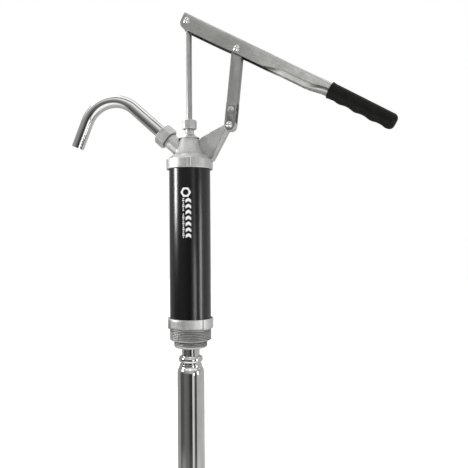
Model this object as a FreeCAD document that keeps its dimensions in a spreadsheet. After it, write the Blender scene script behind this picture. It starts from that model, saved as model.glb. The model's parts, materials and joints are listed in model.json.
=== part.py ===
"""Hand-lever fluid transfer pump: a parametric model in millimetres.

The frame has its origin on the pump's axis at the underside of the base collar, where the
pump seats on a drum.  +Z runs up the barrel, +X points to the side of the lever's grip and
the lever swings in the XZ plane.  The lever is modelled at the top of the rod's stroke.
"""
import FreeCAD, Part
import math
import os

import Sketcher
from FreeCAD import Placement, Rotation, Vector

doc = FreeCAD.newDocument("TransferPump")
sheet = doc.addObject("Spreadsheet::Sheet", "Sizes")
parts = {}


# ---------------------------------------------------------------- sizes and expressions

class Size:
    """A length or angle with its value now and the text that binds it to the sheet."""

    def __init__(self, value, text):
        self.value = float(value)
        self.text = text

    def joined(self, other, sign, result, swapped=False):
        pair = (written(other), self.text) if swapped else (self.text, written(other))
        return Size(result, "(%s %s %s)" % (pair[0], sign, pair[1]))

    def __add__(self, other):
        return self.joined(other, "+", self.value + plain(other))

    def __radd__(self, other):
        return self.joined(other, "+", plain(other) + self.value, True)

    def __sub__(self, other):
        return self.joined(other, "-", self.value - plain(other))

    def __rsub__(self, other):
        return self.joined(other, "-", plain(other) - self.value, True)

    def __mul__(self, other):
        return self.joined(other, "*", self.value * plain(other))

    def __rmul__(self, other):
        return self.joined(other, "*", plain(other) * self.value, True)

    def __truediv__(self, other):
        return self.joined(other, "/", self.value / plain(other))

    def __neg__(self):
        return Size(-self.value, "(0 - %s)" % self.text)


def plain(length):
    return length.value if isinstance(length, Size) else float(length)


def written(length):
    return length.text if isinstance(length, Size) else "%.9g" % length


def size(alias, value):
    """Adds one driving dimension to the sheet."""
    size.row += 1
    sheet.set("A%d" % size.row, alias)
    sheet.set("B%d" % size.row, "%g" % value)
    sheet.setAlias("B%d" % size.row, alias)
    return Size(value, "Sizes." + alias)


size.row = 0

# Base casting: a collar with a 2 inch thread under it and a 1 1/2 inch thread below that.
collar_radius = size("collar_radius", 32.65)
collar_height = size("collar_height", 14.0)
collar_recess = size("collar_recess", 1.2)
big_thread_radius = size("big_thread_radius", 29.8)
big_thread_end = size("big_thread_end", -15.9)
small_thread_radius = size("small_thread_radius", 23.9)
small_thread_top = size("small_thread_top", -17.3)
small_thread_end = size("small_thread_end", -25.0)
casting_bottom = size("casting_bottom", -27.6)
thread_chamfer = size("thread_chamfer", 1.6)
valve_cavity_radius = size("valve_cavity_radius", 19.0)
valve_cavity_floor = size("valve_cavity_floor", -6.0)
tube_stop = size("tube_stop", -10.0)
tube_stop_radius = size("tube_stop_radius", 10.0)
fixed_gap = size("fixed_gap", 0.05)
running_gap = size("running_gap", 0.03)

# Barrel and its gaskets.
barrel_radius = size("barrel_radius", 29.2)
barrel_bore = size("barrel_bore", 27.2)
barrel_bottom = size("barrel_bottom", 4.0)
barrel_top = size("barrel_top", 235.0)
gasket_thickness = size("gasket_thickness", 1.5)
gasket_bore = size("gasket_bore", 25.5)

# Foot valve inside the base.
seat_height = size("seat_height", 5.0)
seat_bore = size("seat_bore", 8.0)
ball_radius = size("ball_radius", 11.0)
ball_lift = size("ball_lift", 4.0)
cage_wall = size("cage_wall", 2.2)
cage_flange_height = size("cage_flange_height", 3.0)
cage_window = size("cage_window", 12.0)

# Head casting.
flange_radius = size("flange_radius", 33.0)
flange_bottom = size("flange_bottom", 225.0)
flange_top = size("flange_top", 238.6)
skirt_radius = size("skirt_radius", 30.6)
dome_foot_radius = size("dome_foot_radius", 21.4)
dome_foot = size("dome_foot", 246.0)
dome_top_radius = size("dome_top_radius", 12.9)
dome_top = size("dome_top", 268.6)
dome_lip_radius = size("dome_lip_radius", 14.7)
neck_radius = size("neck_radius", 6.5)
neck_foot = size("neck_foot", 277.5)
neck_top = size("neck_top", 289.4)
notch_width = size("notch_width", 4.8)
notch_depth = size("notch_depth", 0.8)
notch_turn = size("notch_turn", 14.6)

# Packing nut round the rod.
rod_radius = size("rod_radius", 4.0)
nut_bottom = size("nut_bottom", 282.4)
nut_top = size("nut_top", 295.2)
nut_corner_radius = size("nut_corner_radius", 10.4)
packing_height = size("packing_height", 2.0)
washer_height = size("washer_height", 0.5)

# Outlet: heights along the outlet axis count from where it meets the pump's axis.
outlet_height = size("outlet_height", 241.5)
outlet_rise = size("outlet_rise", 42.0)
boss_radius = size("boss_radius", 11.0)
boss_end = size("boss_end", 49.0)
outlet_bore = size("outlet_bore", 7.5)
union_start = size("union_start", 40.4)
union_end = size("union_end", 55.9)
union_roof = size("union_roof", 53.0)
union_flat = size("union_flat", 28.0)
spout_radius = size("spout_radius", 9.0)
spout_start = size("spout_start", 50.5)
spout_bend_start = size("spout_bend_start", 112.8)
spout_bend_radius = size("spout_bend_radius", 47.0)
spout_bend_turn = size("spout_bend_turn", 109.2)
spout_leg = size("spout_leg", 40.2)
ferrule_radius = size("ferrule_radius", 10.7)
ferrule_height = size("ferrule_height", 2.2)

# Lever linkage: pivots at rest.
rod_pivot_height = size("rod_pivot_height", 434.8)
fulcrum_across = size("fulcrum_across", 71.6)
fulcrum_height = size("fulcrum_height", 389.7)
bracket_pivot_across = size("bracket_pivot_across", 60.5)
bracket_pivot_height = size("bracket_pivot_height", 284.9)
lever_slope = size("lever_slope", 29.1)
stroke = size("stroke", 100.0)

# Lever: lengths along it count from the rod pivot, heights from the pivot's line.
sheet_wall = size("sheet_wall", 1.8)
lever_half_width = size("lever_half_width", 9.7)
lever_crest = size("lever_crest", 9.5)
lever_skirt = size("lever_skirt", -12.3)
lever_skirt_far = size("lever_skirt_far", -10.7)
lever_tail = size("lever_tail", -8.5)
lever_corner = size("lever_corner", 10.0)
channel_end = size("channel_end", 125.0)
handle_start = size("handle_start", 190.0)
handle_end = size("handle_end", 318.0)
handle_radius = size("handle_radius", 9.45)
handle_rise = size("handle_rise", 2.1)
handle_droop = size("handle_droop", 1.0)
handle_slit = size("handle_slit", 3.0)
grip_start = size("grip_start", 225.7)
grip_end = size("grip_end", 324.8)
grip_radius = size("grip_radius", 11.0)
grip_lip_radius = size("grip_lip_radius", 11.7)

# Link between the bracket on the head and the lever.
link_half_width = size("link_half_width", 7.5)
link_cheek = size("link_cheek", 7.5)
link_foot_cheek = size("link_foot_cheek", 9.0)
link_step_low = size("link_step_low", 28.0)
link_step_high = size("link_step_high", 33.0)
link_web_foot = size("link_web_foot", 24.0)
screw_height = size("screw_height", 20.5)
screw_across = size("screw_across", 0.4)
screw_radius = size("screw_radius", 3.0)
screw_head_radius = size("screw_head_radius", 4.6)
spacer_radius = size("spacer_radius", 5.0)
lug_half_width = size("lug_half_width", 6.8)
lug_radius = size("lug_radius", 8.0)
web_half_width = size("web_half_width", 2.6)
web_root_across = size("web_root_across", 18.6)
web_root_height = size("web_root_height", 270.3)
rim_width = size("rim_width", 3.0)

# Pins.
through = size("through", 12.0)
rod_pin_radius = size("rod_pin_radius", 3.5)
rod_eye_radius = size("rod_eye_radius", 6.0)
rod_eye_half_width = size("rod_eye_half_width", 6.0)
pin_radius = size("pin_radius", 4.0)
pin_head_radius = size("pin_head_radius", 4.9)
pin_head_height = size("pin_head_height", 2.3)

# Piston: heights on the rod.
rod_bottom = size("rod_bottom", 189.0)
piston_nut_height = size("piston_nut_height", 5.0)
cup_plate_height = size("cup_plate_height", 3.0)
cup_height = size("cup_height", 7.0)
piston_height = size("piston_height", 8.2)
port_radius = size("port_radius", 3.2)
port_circle = size("port_circle", 13.5)
valve_thickness = size("valve_thickness", 2.0)
valve_lift = size("valve_lift", 3.0)

# Telescopic suction tube.
upper_tube_radius = size("upper_tube_radius", 12.7)
upper_tube_wall = size("upper_tube_wall", 1.5)
upper_tube_bottom = size("upper_tube_bottom", -330.0)
middle_tube_radius = size("middle_tube_radius", 14.5)
middle_tube_bore = size("middle_tube_bore", 13.3)
middle_tube_top = size("middle_tube_top", -40.0)
middle_tube_bottom = size("middle_tube_bottom", -340.0)
bead_radius = size("bead_radius", 17.3)
bead_height = size("bead_height", 10.0)
outer_tube_radius = size("outer_tube_radius", 19.3)
outer_tube_bore = size("outer_tube_bore", 18.3)
outer_tube_top = size("outer_tube_top", -51.5)
outer_shoulder = size("outer_shoulder", -62.4)
outer_tube_bottom = size("outer_tube_bottom", -360.0)
ring_height = size("ring_height", 8.0)
strainer_bottom = size("strainer_bottom", -372.0)
doc.recompute()


# ---------------------------------------------------------------- building helpers

def bind(item, name, length):
    """Sets one property of an object and ties it to the sheet."""
    if isinstance(length, Size):
        item.setExpression(name, length.text)
    elif not name.startswith("."):
        setattr(item, name, length)


def set_at(item, x=0.0, y=0.0, z=0.0, rotation=None):
    """Places an object, with each coordinate tied to the sheet."""
    base = Vector(plain(x), plain(y), plain(z))
    item.Placement = Placement(base, rotation or Rotation())
    for axis, length in (("x", x), ("y", y), ("z", z)):
        bind(item, ".Placement.Base." + axis, length)
    return item


def cylinder(name, radius, bottom, top):
    """An upright cylinder on the Z axis."""
    item = doc.addObject("Part::Cylinder", name)
    bind(item, "Radius", radius)
    bind(item, "Height", top - bottom)
    return set_at(item, z=bottom)


def cross_cylinder(name, radius, near, far, x=0.0, z=0.0):
    """A cylinder along +Y, from y = near to y = far."""
    item = doc.addObject("Part::Cylinder", name)
    bind(item, "Radius", radius)
    bind(item, "Height", far - near)
    return set_at(item, x, near, z, Rotation(Vector(1, 0, 0), -90))


def box(name, low, high):
    item = doc.addObject("Part::Box", name)
    for side, start, end in zip(("Length", "Width", "Height"), low, high):
        bind(item, side, end - start)
    return set_at(item, *low)


def hexagon(name, corner_radius, bottom, top, sides=6):
    """An upright prism whose first corner points along +X."""
    item = doc.addObject("Part::Prism", name)
    item.Polygon = sides
    bind(item, "Circumradius", corner_radius)
    bind(item, "Height", top - bottom)
    return set_at(item, z=bottom)


def moved(item, placement):
    """Moves a placed piece as a whole; its place is then no longer tied to the sheet."""
    for axis in "xyz":
        item.setExpression(".Placement.Base." + axis, None)
    item.Placement = placement * item.Placement
    return item


def turned_round(item, angle):
    """Turns a placed piece about the Z axis, by an angle in degrees."""
    return moved(item, Placement(Vector(), Rotation(Vector(0, 0, 1), angle)))


def cut(name, base, *tools):
    item = doc.addObject("Part::Cut", name)
    item.Base = base
    item.Tool = tools[0] if len(tools) == 1 else fuse(name + "_tools", *tools)
    return item


def fuse(name, *pieces):
    item = doc.addObject("Part::MultiFuse", name)
    item.Shapes = list(pieces)
    item.Refine = True
    return item


def common(name, *pieces):
    item = doc.addObject("Part::MultiCommon", name)
    item.Shapes = list(pieces)
    return item


def draw_outline(sketch, corners):
    """Draws a closed outline and dimensions it from the sketch's origin.

    A corner is (across, up), or (across, up, radius) when the edge that arrives at it is an
    arc.  The radius is positive for an arc that bulges to the left of the way it is drawn.
    """
    ends = [Vector(plain(corner[0]), plain(corner[1]), 0) for corner in corners]
    count = len(corners)
    starts = []
    for index in range(count):
        here = ends[index]
        there = ends[(index + 1) % count]
        arrival = corners[(index + 1) % count]
        if len(arrival) == 3:
            chord = there - here
            radius = abs(plain(arrival[2]))
            rise = radius - math.sqrt(radius ** 2 - chord.Length ** 2 / 4)
            left = Vector(-chord.y, chord.x, 0).normalize()
            middle = (here + there) / 2 + left * math.copysign(rise, plain(arrival[2]))
            edge = sketch.addGeometry(Part.Arc(here, middle, there), False)
            sketch.addConstraint(Sketcher.Constraint("Radius", edge, radius))
            starts.append(1 if (sketch.getPoint(edge, 1) - here).Length < 1e-6 else 2)
        else:
            sketch.addGeometry(Part.LineSegment(here, there), False)
            starts.append(1)
    for index in range(count):
        after = (index + 1) % count
        meet = Sketcher.Constraint("Coincident", index, 3 - starts[index], after, starts[after])
        sketch.addConstraint(meet)
    for index, corner in enumerate(corners):
        for kind, length in (("DistanceX", corner[0]), ("DistanceY", corner[1])):
            rule = Sketcher.Constraint(kind, -1, 1, index, starts[index], plain(length))
            number = sketch.addConstraint(rule)
            if isinstance(length, Size):
                sketch.setExpression("Constraints[%d]" % number, length.text)


def sketched_body(name, role, corners):
    """A PartDesign body with one sketch on the named plane of its own origin."""
    body = doc.addObject("PartDesign::Body", name)
    sketch = body.newObject("Sketcher::SketchObject", name + "_sketch")
    plane = [item for item in body.Origin.OriginFeatures if item.Role == role][0]
    sketch.AttachmentSupport = [(plane, "")]
    sketch.MapMode = "FlatFace"
    draw_outline(sketch, corners)
    return body, sketch


def turned(name, corners):
    """A body turned about the Z axis from (radius, height) corners."""
    body, sketch = sketched_body(name, "XZ_Plane", corners)
    feature = body.newObject("PartDesign::Revolution", name + "_turn")
    feature.Profile = sketch
    feature.ReferenceAxis = (sketch, ["V_Axis"])
    feature.Angle = 360
    return body


def ring(name, inner, outer, bottom, top):
    return turned(name, [(inner, bottom), (outer, bottom), (outer, top), (inner, top)])


def plate(name, corners, half_width):
    """A flat body with an outline in the XZ plane, as far to each side of that plane."""
    body, sketch = sketched_body(name, "XZ_Plane", corners)
    feature = body.newObject("PartDesign::Pad", name + "_pad")
    feature.Profile = sketch
    bind(feature, "Length", half_width * 2)
    feature.SideType = "Symmetric"
    return body


def keep(node, item):
    """Names a finished sub-part."""
    item.Label = node
    parts[node] = item
    return item


# ---------------------------------------------------------------- base, barrel, gaskets

def build_base():
    socket = barrel_radius + fixed_gap
    socket_floor = barrel_bottom - gasket_thickness
    tube_socket = upper_tube_radius + fixed_gap
    body = turned("base_turned", [
        (tube_socket, casting_bottom),
        (small_thread_radius - thread_chamfer, casting_bottom),
        (small_thread_radius, small_thread_end),
        (small_thread_radius, small_thread_top),
        (big_thread_radius - big_thread_end + small_thread_top, small_thread_top),
        (big_thread_radius, big_thread_end),
        (big_thread_radius, 0.0),
        (collar_radius, 0.0),
        (collar_radius, collar_height),
        (socket, collar_height),
        (socket, socket_floor),
        (valve_cavity_radius, socket_floor),
        (valve_cavity_radius, valve_cavity_floor),
        (tube_stop_radius, valve_cavity_floor),
        (tube_stop_radius, tube_stop),
        (tube_socket, tube_stop),
    ])
    # Shallow recesses in the collar's rim, one on the front and one on the back.
    recesses = []
    for name, turn in (("front_recess", 220), ("back_recess", 40)):
        sector = cylinder(name, collar_radius + 1, 0.0, collar_height)
        sector.Angle = 100
        sector.Placement.Rotation = Rotation(Vector(0, 0, 1), turn)
        core = cylinder(name + "_core", collar_radius - collar_recess, 0.0, collar_height)
        recesses.append(cut(name + "_ring", sector, core))
    keep("base_casting", cut("base_casting", body, *recesses))


def build_barrel():
    keep("barrel", ring("barrel", barrel_bore, barrel_radius, barrel_bottom, barrel_top))
    gasket_rim = barrel_radius - 0.1
    low = barrel_bottom - gasket_thickness
    keep("base_gasket", ring("base_gasket", gasket_bore, gasket_rim, low, barrel_bottom))
    high = barrel_top + gasket_thickness
    keep("head_gasket", ring("head_gasket", gasket_bore, gasket_rim, barrel_top, high))


def build_foot_valve():
    rim = valve_cavity_radius - fixed_gap
    seat_top = valve_cavity_floor + seat_height
    lift = math.sqrt(plain(ball_radius) ** 2 - plain(seat_bore) ** 2)
    ball_centre = seat_top + lift
    # The seat's edge is lapped to the ball.
    blank = ring("seat_blank", seat_bore - 1.5, rim, valve_cavity_floor, seat_top)
    lap = doc.addObject("Part::Sphere", "seat_lap")
    bind(lap, "Radius", ball_radius + running_gap)
    set_at(lap, z=ball_centre)
    keep("valve_seat", cut("valve_seat", blank, lap))
    ball = doc.addObject("Part::Sphere", "foot_valve_ball")
    bind(ball, "Radius", ball_radius)
    keep("foot_valve_ball", set_at(ball, z=ball_centre))
    # The cage lets the ball lift and has three windows for the fluid.
    bore = ball_radius + 0.3
    wall = bore + cage_wall
    flange_top_height = seat_top + cage_flange_height
    roof = ball_centre + ball_radius + ball_lift + 0.3
    cage = turned("cage_turned", [
        (bore, seat_top),
        (rim, seat_top),
        (rim, flange_top_height),
        (wall, flange_top_height),
        (wall, roof + cage_wall),
        (seat_bore / 2, roof + cage_wall),
        (seat_bore / 2, roof),
        (bore, roof),
    ])
    windows = []
    for turn in range(0, 360, 120):
        window = box("cage_window_%d" % turn, (0.0, cage_window * -0.5, flange_top_height),
                     (rim, cage_window * 0.5, roof))
        windows.append(turned_round(window, turn))
    keep("ball_cage", cut("ball_cage", cage, *windows))


# ---------------------------------------------------------------- head and outlet

outlet_turn = Rotation(Vector(0, 1, 0), plain(outlet_rise) - 90)
outlet_place = Placement(Vector(0, 0, plain(outlet_height)), outlet_turn)


def on_outlet(item):
    """Turns an upright piece onto the outlet's axis."""
    return moved(item, outlet_place)


def build_head():
    socket = barrel_radius + fixed_gap
    ledge = barrel_top + gasket_thickness
    shell = turned("head_shell", [
        (0.0, flange_bottom),
        (flange_radius, flange_bottom),
        (flange_radius, flange_top),
        (skirt_radius, flange_top + 0.9),
        (dome_foot_radius, dome_foot, -14.0),
        (dome_top_radius + 2.4, dome_top - 6.5, 90.0),
        (dome_top_radius, dome_top, -60.0),
        (dome_lip_radius, dome_top + 0.9),
        (dome_lip_radius - 0.3, dome_top + 1.8),
        (neck_radius + 0.9, dome_top + 6.6, 11.0),
        (neck_radius, neck_foot, 6.0),
        (neck_radius, neck_top),
        (0.0, neck_top),
    ])
    boss = on_outlet(cylinder("outlet_boss", boss_radius, 10.0, boss_end))
    # The bracket is a thin web with a wide rim along its outer edge and a lug at its tip.
    web = plate("bracket_web", [
        (flange_radius - 8, flange_top - 2),
        (flange_radius + 2.2, flange_top - 2),
        (bracket_pivot_across - 3.2, bracket_pivot_height - 7),
        (bracket_pivot_across, bracket_pivot_height),
        (bracket_pivot_across - 9.9, bracket_pivot_height + 1.2),
        (bracket_pivot_across - 26.5, bracket_pivot_height - 6.6),
        (web_root_across, web_root_height),
        (neck_radius, dome_foot + 12),
    ], web_half_width)
    rim = plate("bracket_rim", [
        (flange_radius - 0.8, flange_top - 2.3),
        (flange_radius - 0.8 + rim_width, flange_top - 2.3),
        (bracket_pivot_across - 1.0, bracket_pivot_height - 5),
        (bracket_pivot_across - 1.0 - rim_width, bracket_pivot_height - 4),
    ], lug_half_width)
    lug = cross_cylinder("bracket_lug", lug_radius, -lug_half_width, lug_half_width,
                         bracket_pivot_across, bracket_pivot_height)
    blank = fuse("head_blank", shell, boss, web, rim, lug)
    cavity = turned("head_cavity", [
        (0.0, flange_bottom),
        (socket, flange_bottom),
        (socket, ledge),
        (gasket_bore - 1, ledge),
        (dome_foot_radius - 3, dome_foot - 1),
        (dome_foot_radius - 4.5, dome_foot + 6),
        (dome_top_radius - 3, dome_top - 5),
        (rod_radius + fixed_gap, dome_top - 2),
        (rod_radius + fixed_gap, neck_top),
        (0.0, neck_top),
    ])
    passage = on_outlet(cylinder("outlet_passage", outlet_bore, 8.0, boss_end + 1))
    pin_hole = cross_cylinder("bracket_pin_hole", pin_radius + running_gap,
                              -lug_half_width, lug_half_width,
                              bracket_pivot_across, bracket_pivot_height)
    notches = []
    for third in range(3):
        notch = box("flange_notch_%d" % third,
                    (flange_radius - notch_depth, notch_width * -0.5, flange_bottom),
                    (flange_radius + 1, notch_width * 0.5, flange_top + 1))
        notches.append(turned_round(notch, plain(notch_turn) - 90 + 120 * third))
    keep("head_casting", cut("head_casting", blank, cavity, passage, pin_hole, *notches))


def build_packing_nut():
    blank = hexagon("packing_nut_blank", nut_corner_radius, nut_bottom, nut_top, 8)
    blank.Placement.Rotation = Rotation(Vector(0, 0, 1), 22.5)
    # The corners are chamfered by turning.
    form = turned("packing_nut_form", [
        (0.0, nut_bottom),
        (nut_corner_radius - 1.0, nut_bottom),
        (nut_corner_radius, nut_bottom + 1.4),
        (nut_corner_radius, nut_top - 1.4),
        (nut_corner_radius - 1.2, nut_top),
        (0.0, nut_top),
    ])
    thread = cylinder("packing_nut_thread", neck_radius + fixed_gap, nut_bottom,
                      neck_top + packing_height + washer_height)
    hole = cylinder("packing_nut_hole", rod_radius + 0.1, nut_bottom, nut_top)
    keep("packing_nut", cut("packing_nut", common("packing_nut_body", blank, form),
                            thread, hole))
    rim = neck_radius - 0.1
    washer_bottom = neck_top + packing_height
    keep("rod_packing", ring("rod_packing", rod_radius + running_gap, rim,
                             neck_top, washer_bottom))
    keep("packing_washer", ring("packing_washer", rod_radius + 0.1, rim,
                                washer_bottom, washer_bottom + washer_height))


def build_union_nut():
    corner = union_flat / math.sqrt(3)
    blank = hexagon("union_blank", corner, union_start, union_end)
    form = turned("union_form", [
        (0.0, union_start),
        (corner - 1.4, union_start),
        (corner, union_start + 1.0),
        (corner, union_end - 1.0),
        (corner - 1.6, union_end),
        (0.0, union_end),
    ])
    thread = cylinder("union_thread", boss_radius + fixed_gap, union_start, union_roof)
    hole = cylinder("union_hole", spout_radius + running_gap, union_start, union_end)
    nut = cut("spout_nut", common("union_body", blank, form), thread, hole)
    keep("spout_nut", on_outlet(nut))
    seal = ring("spout_seal", outlet_bore + 0.1, boss_radius - 0.1, boss_end, boss_end + 1.2)
    keep("spout_seal", on_outlet(seal))


def build_spout():
    rise = math.radians(plain(outlet_rise))
    turn = math.radians(plain(spout_bend_turn))
    radius = plain(spout_bend_radius)
    ahead = Vector(-math.cos(rise), 0, math.sin(rise))
    inward = Vector(-ahead.z, 0, ahead.x)
    root = Vector(0, 0, plain(outlet_height))
    start = root + ahead * plain(spout_start)
    bend_start = root + ahead * plain(spout_bend_start)
    centre = bend_start + inward * radius

    def on_bend(angle):
        return centre - inward * (radius * math.cos(angle)) + ahead * (radius * math.sin(angle))

    bend_end = on_bend(turn)
    down = ahead * math.cos(turn) + inward * math.sin(turn)
    end = bend_end + down * plain(spout_leg)
    path = Part.Wire([
        Part.LineSegment(start, bend_start).toShape(),
        Part.Arc(bend_start, on_bend(turn / 2), bend_end).toShape(),
        Part.LineSegment(bend_end, end).toShape(),
    ])
    spine = doc.addObject("Part::Feature", "spout_spine")
    spine.Shape = path
    tubes = []
    for name, tube_radius in (("spout_outside", spout_radius), ("spout_inside", outlet_bore)):
        rim = doc.addObject("Part::Circle", name + "_rim")
        bind(rim, "Radius", tube_radius)
        rim.Placement = Placement(start, outlet_turn)
        sweep = doc.addObject("Part::Sweep", name)
        sweep.Sections = [rim]
        sweep.Spine = (spine, ["Edge1", "Edge2", "Edge3"])
        sweep.Solid = True
        tubes.append(sweep)
    keep("spout_tube", cut("spout_tube", *tubes))
    ferrule = ring("spout_ferrule", spout_radius + fixed_gap, ferrule_radius,
                   spout_start, spout_start + ferrule_height)
    keep("spout_ferrule", on_outlet(ferrule))
    print("spout end", [round(value, 2) for value in end],
          "direction", [round(value, 4) for value in down],
          "length", round(path.Length, 1))


# ---------------------------------------------------------------- lever

lever_place = Placement(Vector(0, 0, plain(rod_pivot_height)),
                        Rotation(Vector(0, 1, 0), plain(lever_slope)))


def lever_point(across, height):
    """Where a point of the XZ plane lies on the lever: along it, and above the rod pivot."""
    offset = Vector(across, 0, height) - lever_place.Base
    return lever_place.Rotation.inverted().multVec(offset)


def lever_section(along, blend):
    """The sheet's closed outline across the lever, as one wire.

    A blend of 0 gives the open channel and 1 the round handle with a slit underneath.
    The channel is deepest at its tail, and the handle droops a little towards its end.
    """
    steps = 28
    half = plain(lever_half_width)
    crest = plain(lever_crest)
    skirt = plain(lever_skirt if along <= plain(lever_tail) else lever_skirt_far)
    corner = 3.0
    radius = plain(handle_radius)
    beyond = along - plain(handle_start)
    axis = plain(handle_rise) - beyond * math.tan(math.radians(plain(handle_droop)))
    wall = plain(sheet_wall)
    side = crest - corner - skirt
    bend = corner * math.pi / 2
    roof = 2 * (half - corner)
    total = 2 * side + 2 * bend + roof
    slit_angle = math.asin(plain(handle_slit) / 2 / radius)

    def channel(travel, inset):
        if travel <= side:
            return Vector(0, inset - half, skirt + travel)
        if travel <= side + bend:
            angle = (travel - side) / corner
            reach = corner - inset
            return Vector(0, corner - half - reach * math.cos(angle),
                          crest - corner + reach * math.sin(angle))
        if travel <= side + bend + roof / 2:
            return Vector(0, corner - half + travel - side - bend, crest - inset)
        mirror = channel(total - travel, inset)
        return Vector(0, -mirror.y, mirror.z)

    def handle(share, inset):
        angle = slit_angle + share * 2 * (math.pi - slit_angle)
        reach = radius - inset
        return Vector(0, -reach * math.sin(angle), axis - reach * math.cos(angle))

    corners = []
    for inset, order in ((0.0, range(steps + 1)), (wall, range(steps, -1, -1))):
        for step in order:
            share = step / steps
            point = channel(share * total, inset) * (1 - blend) + handle(share, inset) * blend
            corners.append(Vector(along, point.y, point.z))
    return Part.makePolygon(corners + corners[:1])


def build_lever():
    start = plain(channel_end)
    length = plain(handle_start) - start
    sections = [lever_section(plain(lever_tail), 0.0)]
    stations = 6
    for station in range(stations + 1):
        share = station / stations
        blend = share * share * (3 - 2 * share)
        sections.append(lever_section(start + length * share, blend))
    sections.append(lever_section(plain(handle_end), 1.0))
    pressed = doc.addObject("Part::Feature", "lever_pressing")
    pressed.Shape = Part.makeLoft(sections, True, True)
    fulcrum = lever_point(plain(fulcrum_across), plain(fulcrum_height))
    rod_hole = cross_cylinder("lever_rod_hole", rod_pin_radius + fixed_gap, -through, through)
    fulcrum_hole = cross_cylinder("lever_fulcrum_hole", pin_radius + fixed_gap, -through, through,
                                  fulcrum.x, fulcrum.z)
    # The lower corner of the tail is rounded.
    corner_block = box("lever_corner_block", (lever_tail - 1, -through, lever_skirt - 1),
                       (lever_tail + lever_corner, through, lever_skirt + lever_corner))
    corner_round = cross_cylinder("lever_corner_round", lever_corner, -through - 1, through + 1,
                                  lever_tail + lever_corner, lever_skirt + lever_corner)
    corner_cut = cut("lever_corner_cut", corner_block, corner_round)
    channel = cut("lever_channel", pressed, rod_hole, fulcrum_hole, corner_cut)
    keep("lever_channel", channel).Placement = lever_place

    wall_end = grip_end - 4.5
    bore = handle_radius + fixed_gap
    grip = turned("lever_grip", [
        (bore, grip_start),
        (grip_lip_radius, grip_start),
        (grip_lip_radius, grip_start + 2.5),
        (grip_radius, grip_start + 5.0),
        (grip_radius, grip_end - 7.0),
        (grip_radius - 7.0, grip_end, -7.0),
        (0.0, grip_end),
        (0.0, wall_end),
        (bore, wall_end),
    ])
    # The grip is turned about the handle's axis, which droops from where the handle starts.
    root = Vector(plain(handle_start), 0, plain(handle_rise))
    drooping = Placement(root, Rotation(Vector(0, 1, 0), plain(handle_droop)))
    lying = Placement(Vector(-root.x, 0, 0), Rotation(Vector(0, 1, 0), 90))
    keep("lever_grip", grip).Placement = lever_place * drooping * lying


# ---------------------------------------------------------------- link

link_rise = Vector(plain(fulcrum_across - bracket_pivot_across), 0,
                   plain(fulcrum_height - bracket_pivot_height))
link_length = link_rise.Length
link_tilt = math.degrees(math.atan2(link_rise.x, link_rise.z))
link_place = Placement(Vector(plain(bracket_pivot_across), 0, plain(bracket_pivot_height)),
                       Rotation(Vector(0, 1, 0), link_tilt))


def long_outline(name, half_width):
    """The link's side view: straight edges with a round end at each pivot."""
    half = plain(link_half_width)
    return plate(name, [
        (-half, 0.0),
        (0.0, -half, -half),
        (half, 0.0, -half),
        (half, link_length),
        (0.0, link_length + half, -half),
        (-half, link_length, -half),
    ], half_width)


def build_link():
    side = link_half_width
    # Across the link, the cheeks step outwards near the foot to clear the bracket's lug.
    step_middle = (link_step_low + link_step_high) / 2
    stepped = []
    for name, inset in (("link_outside", 0.0), ("link_inside", sheet_wall)):
        wide = link_foot_cheek - inset
        narrow = link_cheek - inset
        body, sketch = sketched_body(name, "YZ_Plane", [
            (-wide, -side - 1), (wide, -side - 1), (wide, link_step_low),
            (narrow, link_step_high), (narrow, link_length + 20),
            (-narrow, link_length + 20), (-narrow, link_step_high), (-wide, link_step_low),
        ])
        pad = body.newObject("PartDesign::Pad", name + "_pad")
        pad.Profile = sketch
        bind(pad, "Length", side * 2 + 2)
        pad.SideType = "Symmetric"
        stepped.append(body)
    outline = long_outline("link_outline", link_foot_cheek)
    blank = common("link_blank", outline, stepped[0])
    # The web closes the channel on the outer side only, above the screw.
    hollow_low = box("link_hollow_low", (-side - 1, -link_foot_cheek, -side - 1),
                     (side + 1, link_foot_cheek, step_middle))
    hollow_high = box("link_hollow_high", (-side - 1, -link_foot_cheek, link_web_foot),
                      (side - sheet_wall, link_foot_cheek, link_length + 20))
    hollow = common("link_hollow", stepped[1],
                    fuse("link_hollow_zone", hollow_low, hollow_high))
    foot_hole = cross_cylinder("link_foot_hole", pin_radius + fixed_gap, -through, through)
    top_hole = cross_cylinder("link_top_hole", pin_radius + fixed_gap, -through, through,
                              0.0, link_length)
    screw_hole = cross_cylinder("link_screw_hole", screw_radius + fixed_gap, -through, through,
                                screw_across, screw_height)
    channel = cut("link_channel", blank, hollow, foot_hole, top_hole, screw_hole)
    keep("link_channel", channel).Placement = link_place


def on_link(item):
    """Moves a piece drawn upright at the origin onto the link."""
    return moved(item, link_place)


def on_lever(item):
    """Moves a piece drawn level at the origin onto the lever."""
    return moved(item, lever_place)


def rivet_head(name, radius, face, outwards):
    """A low dome on the outside of a cheek whose face is at y = face * outwards."""
    rise = plain(pin_head_height) - 0.8
    dome = (plain(radius) ** 2 + rise ** 2) / (2 * rise)
    body = turned(name, [
        (0.0, face),
        (radius, face),
        (radius, face + 0.8),
        (0.0, face + pin_head_height, -dome),
    ])
    body.Placement = Placement(Vector(), Rotation(Vector(1, 0, 0), -90 * outwards))
    return body


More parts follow.
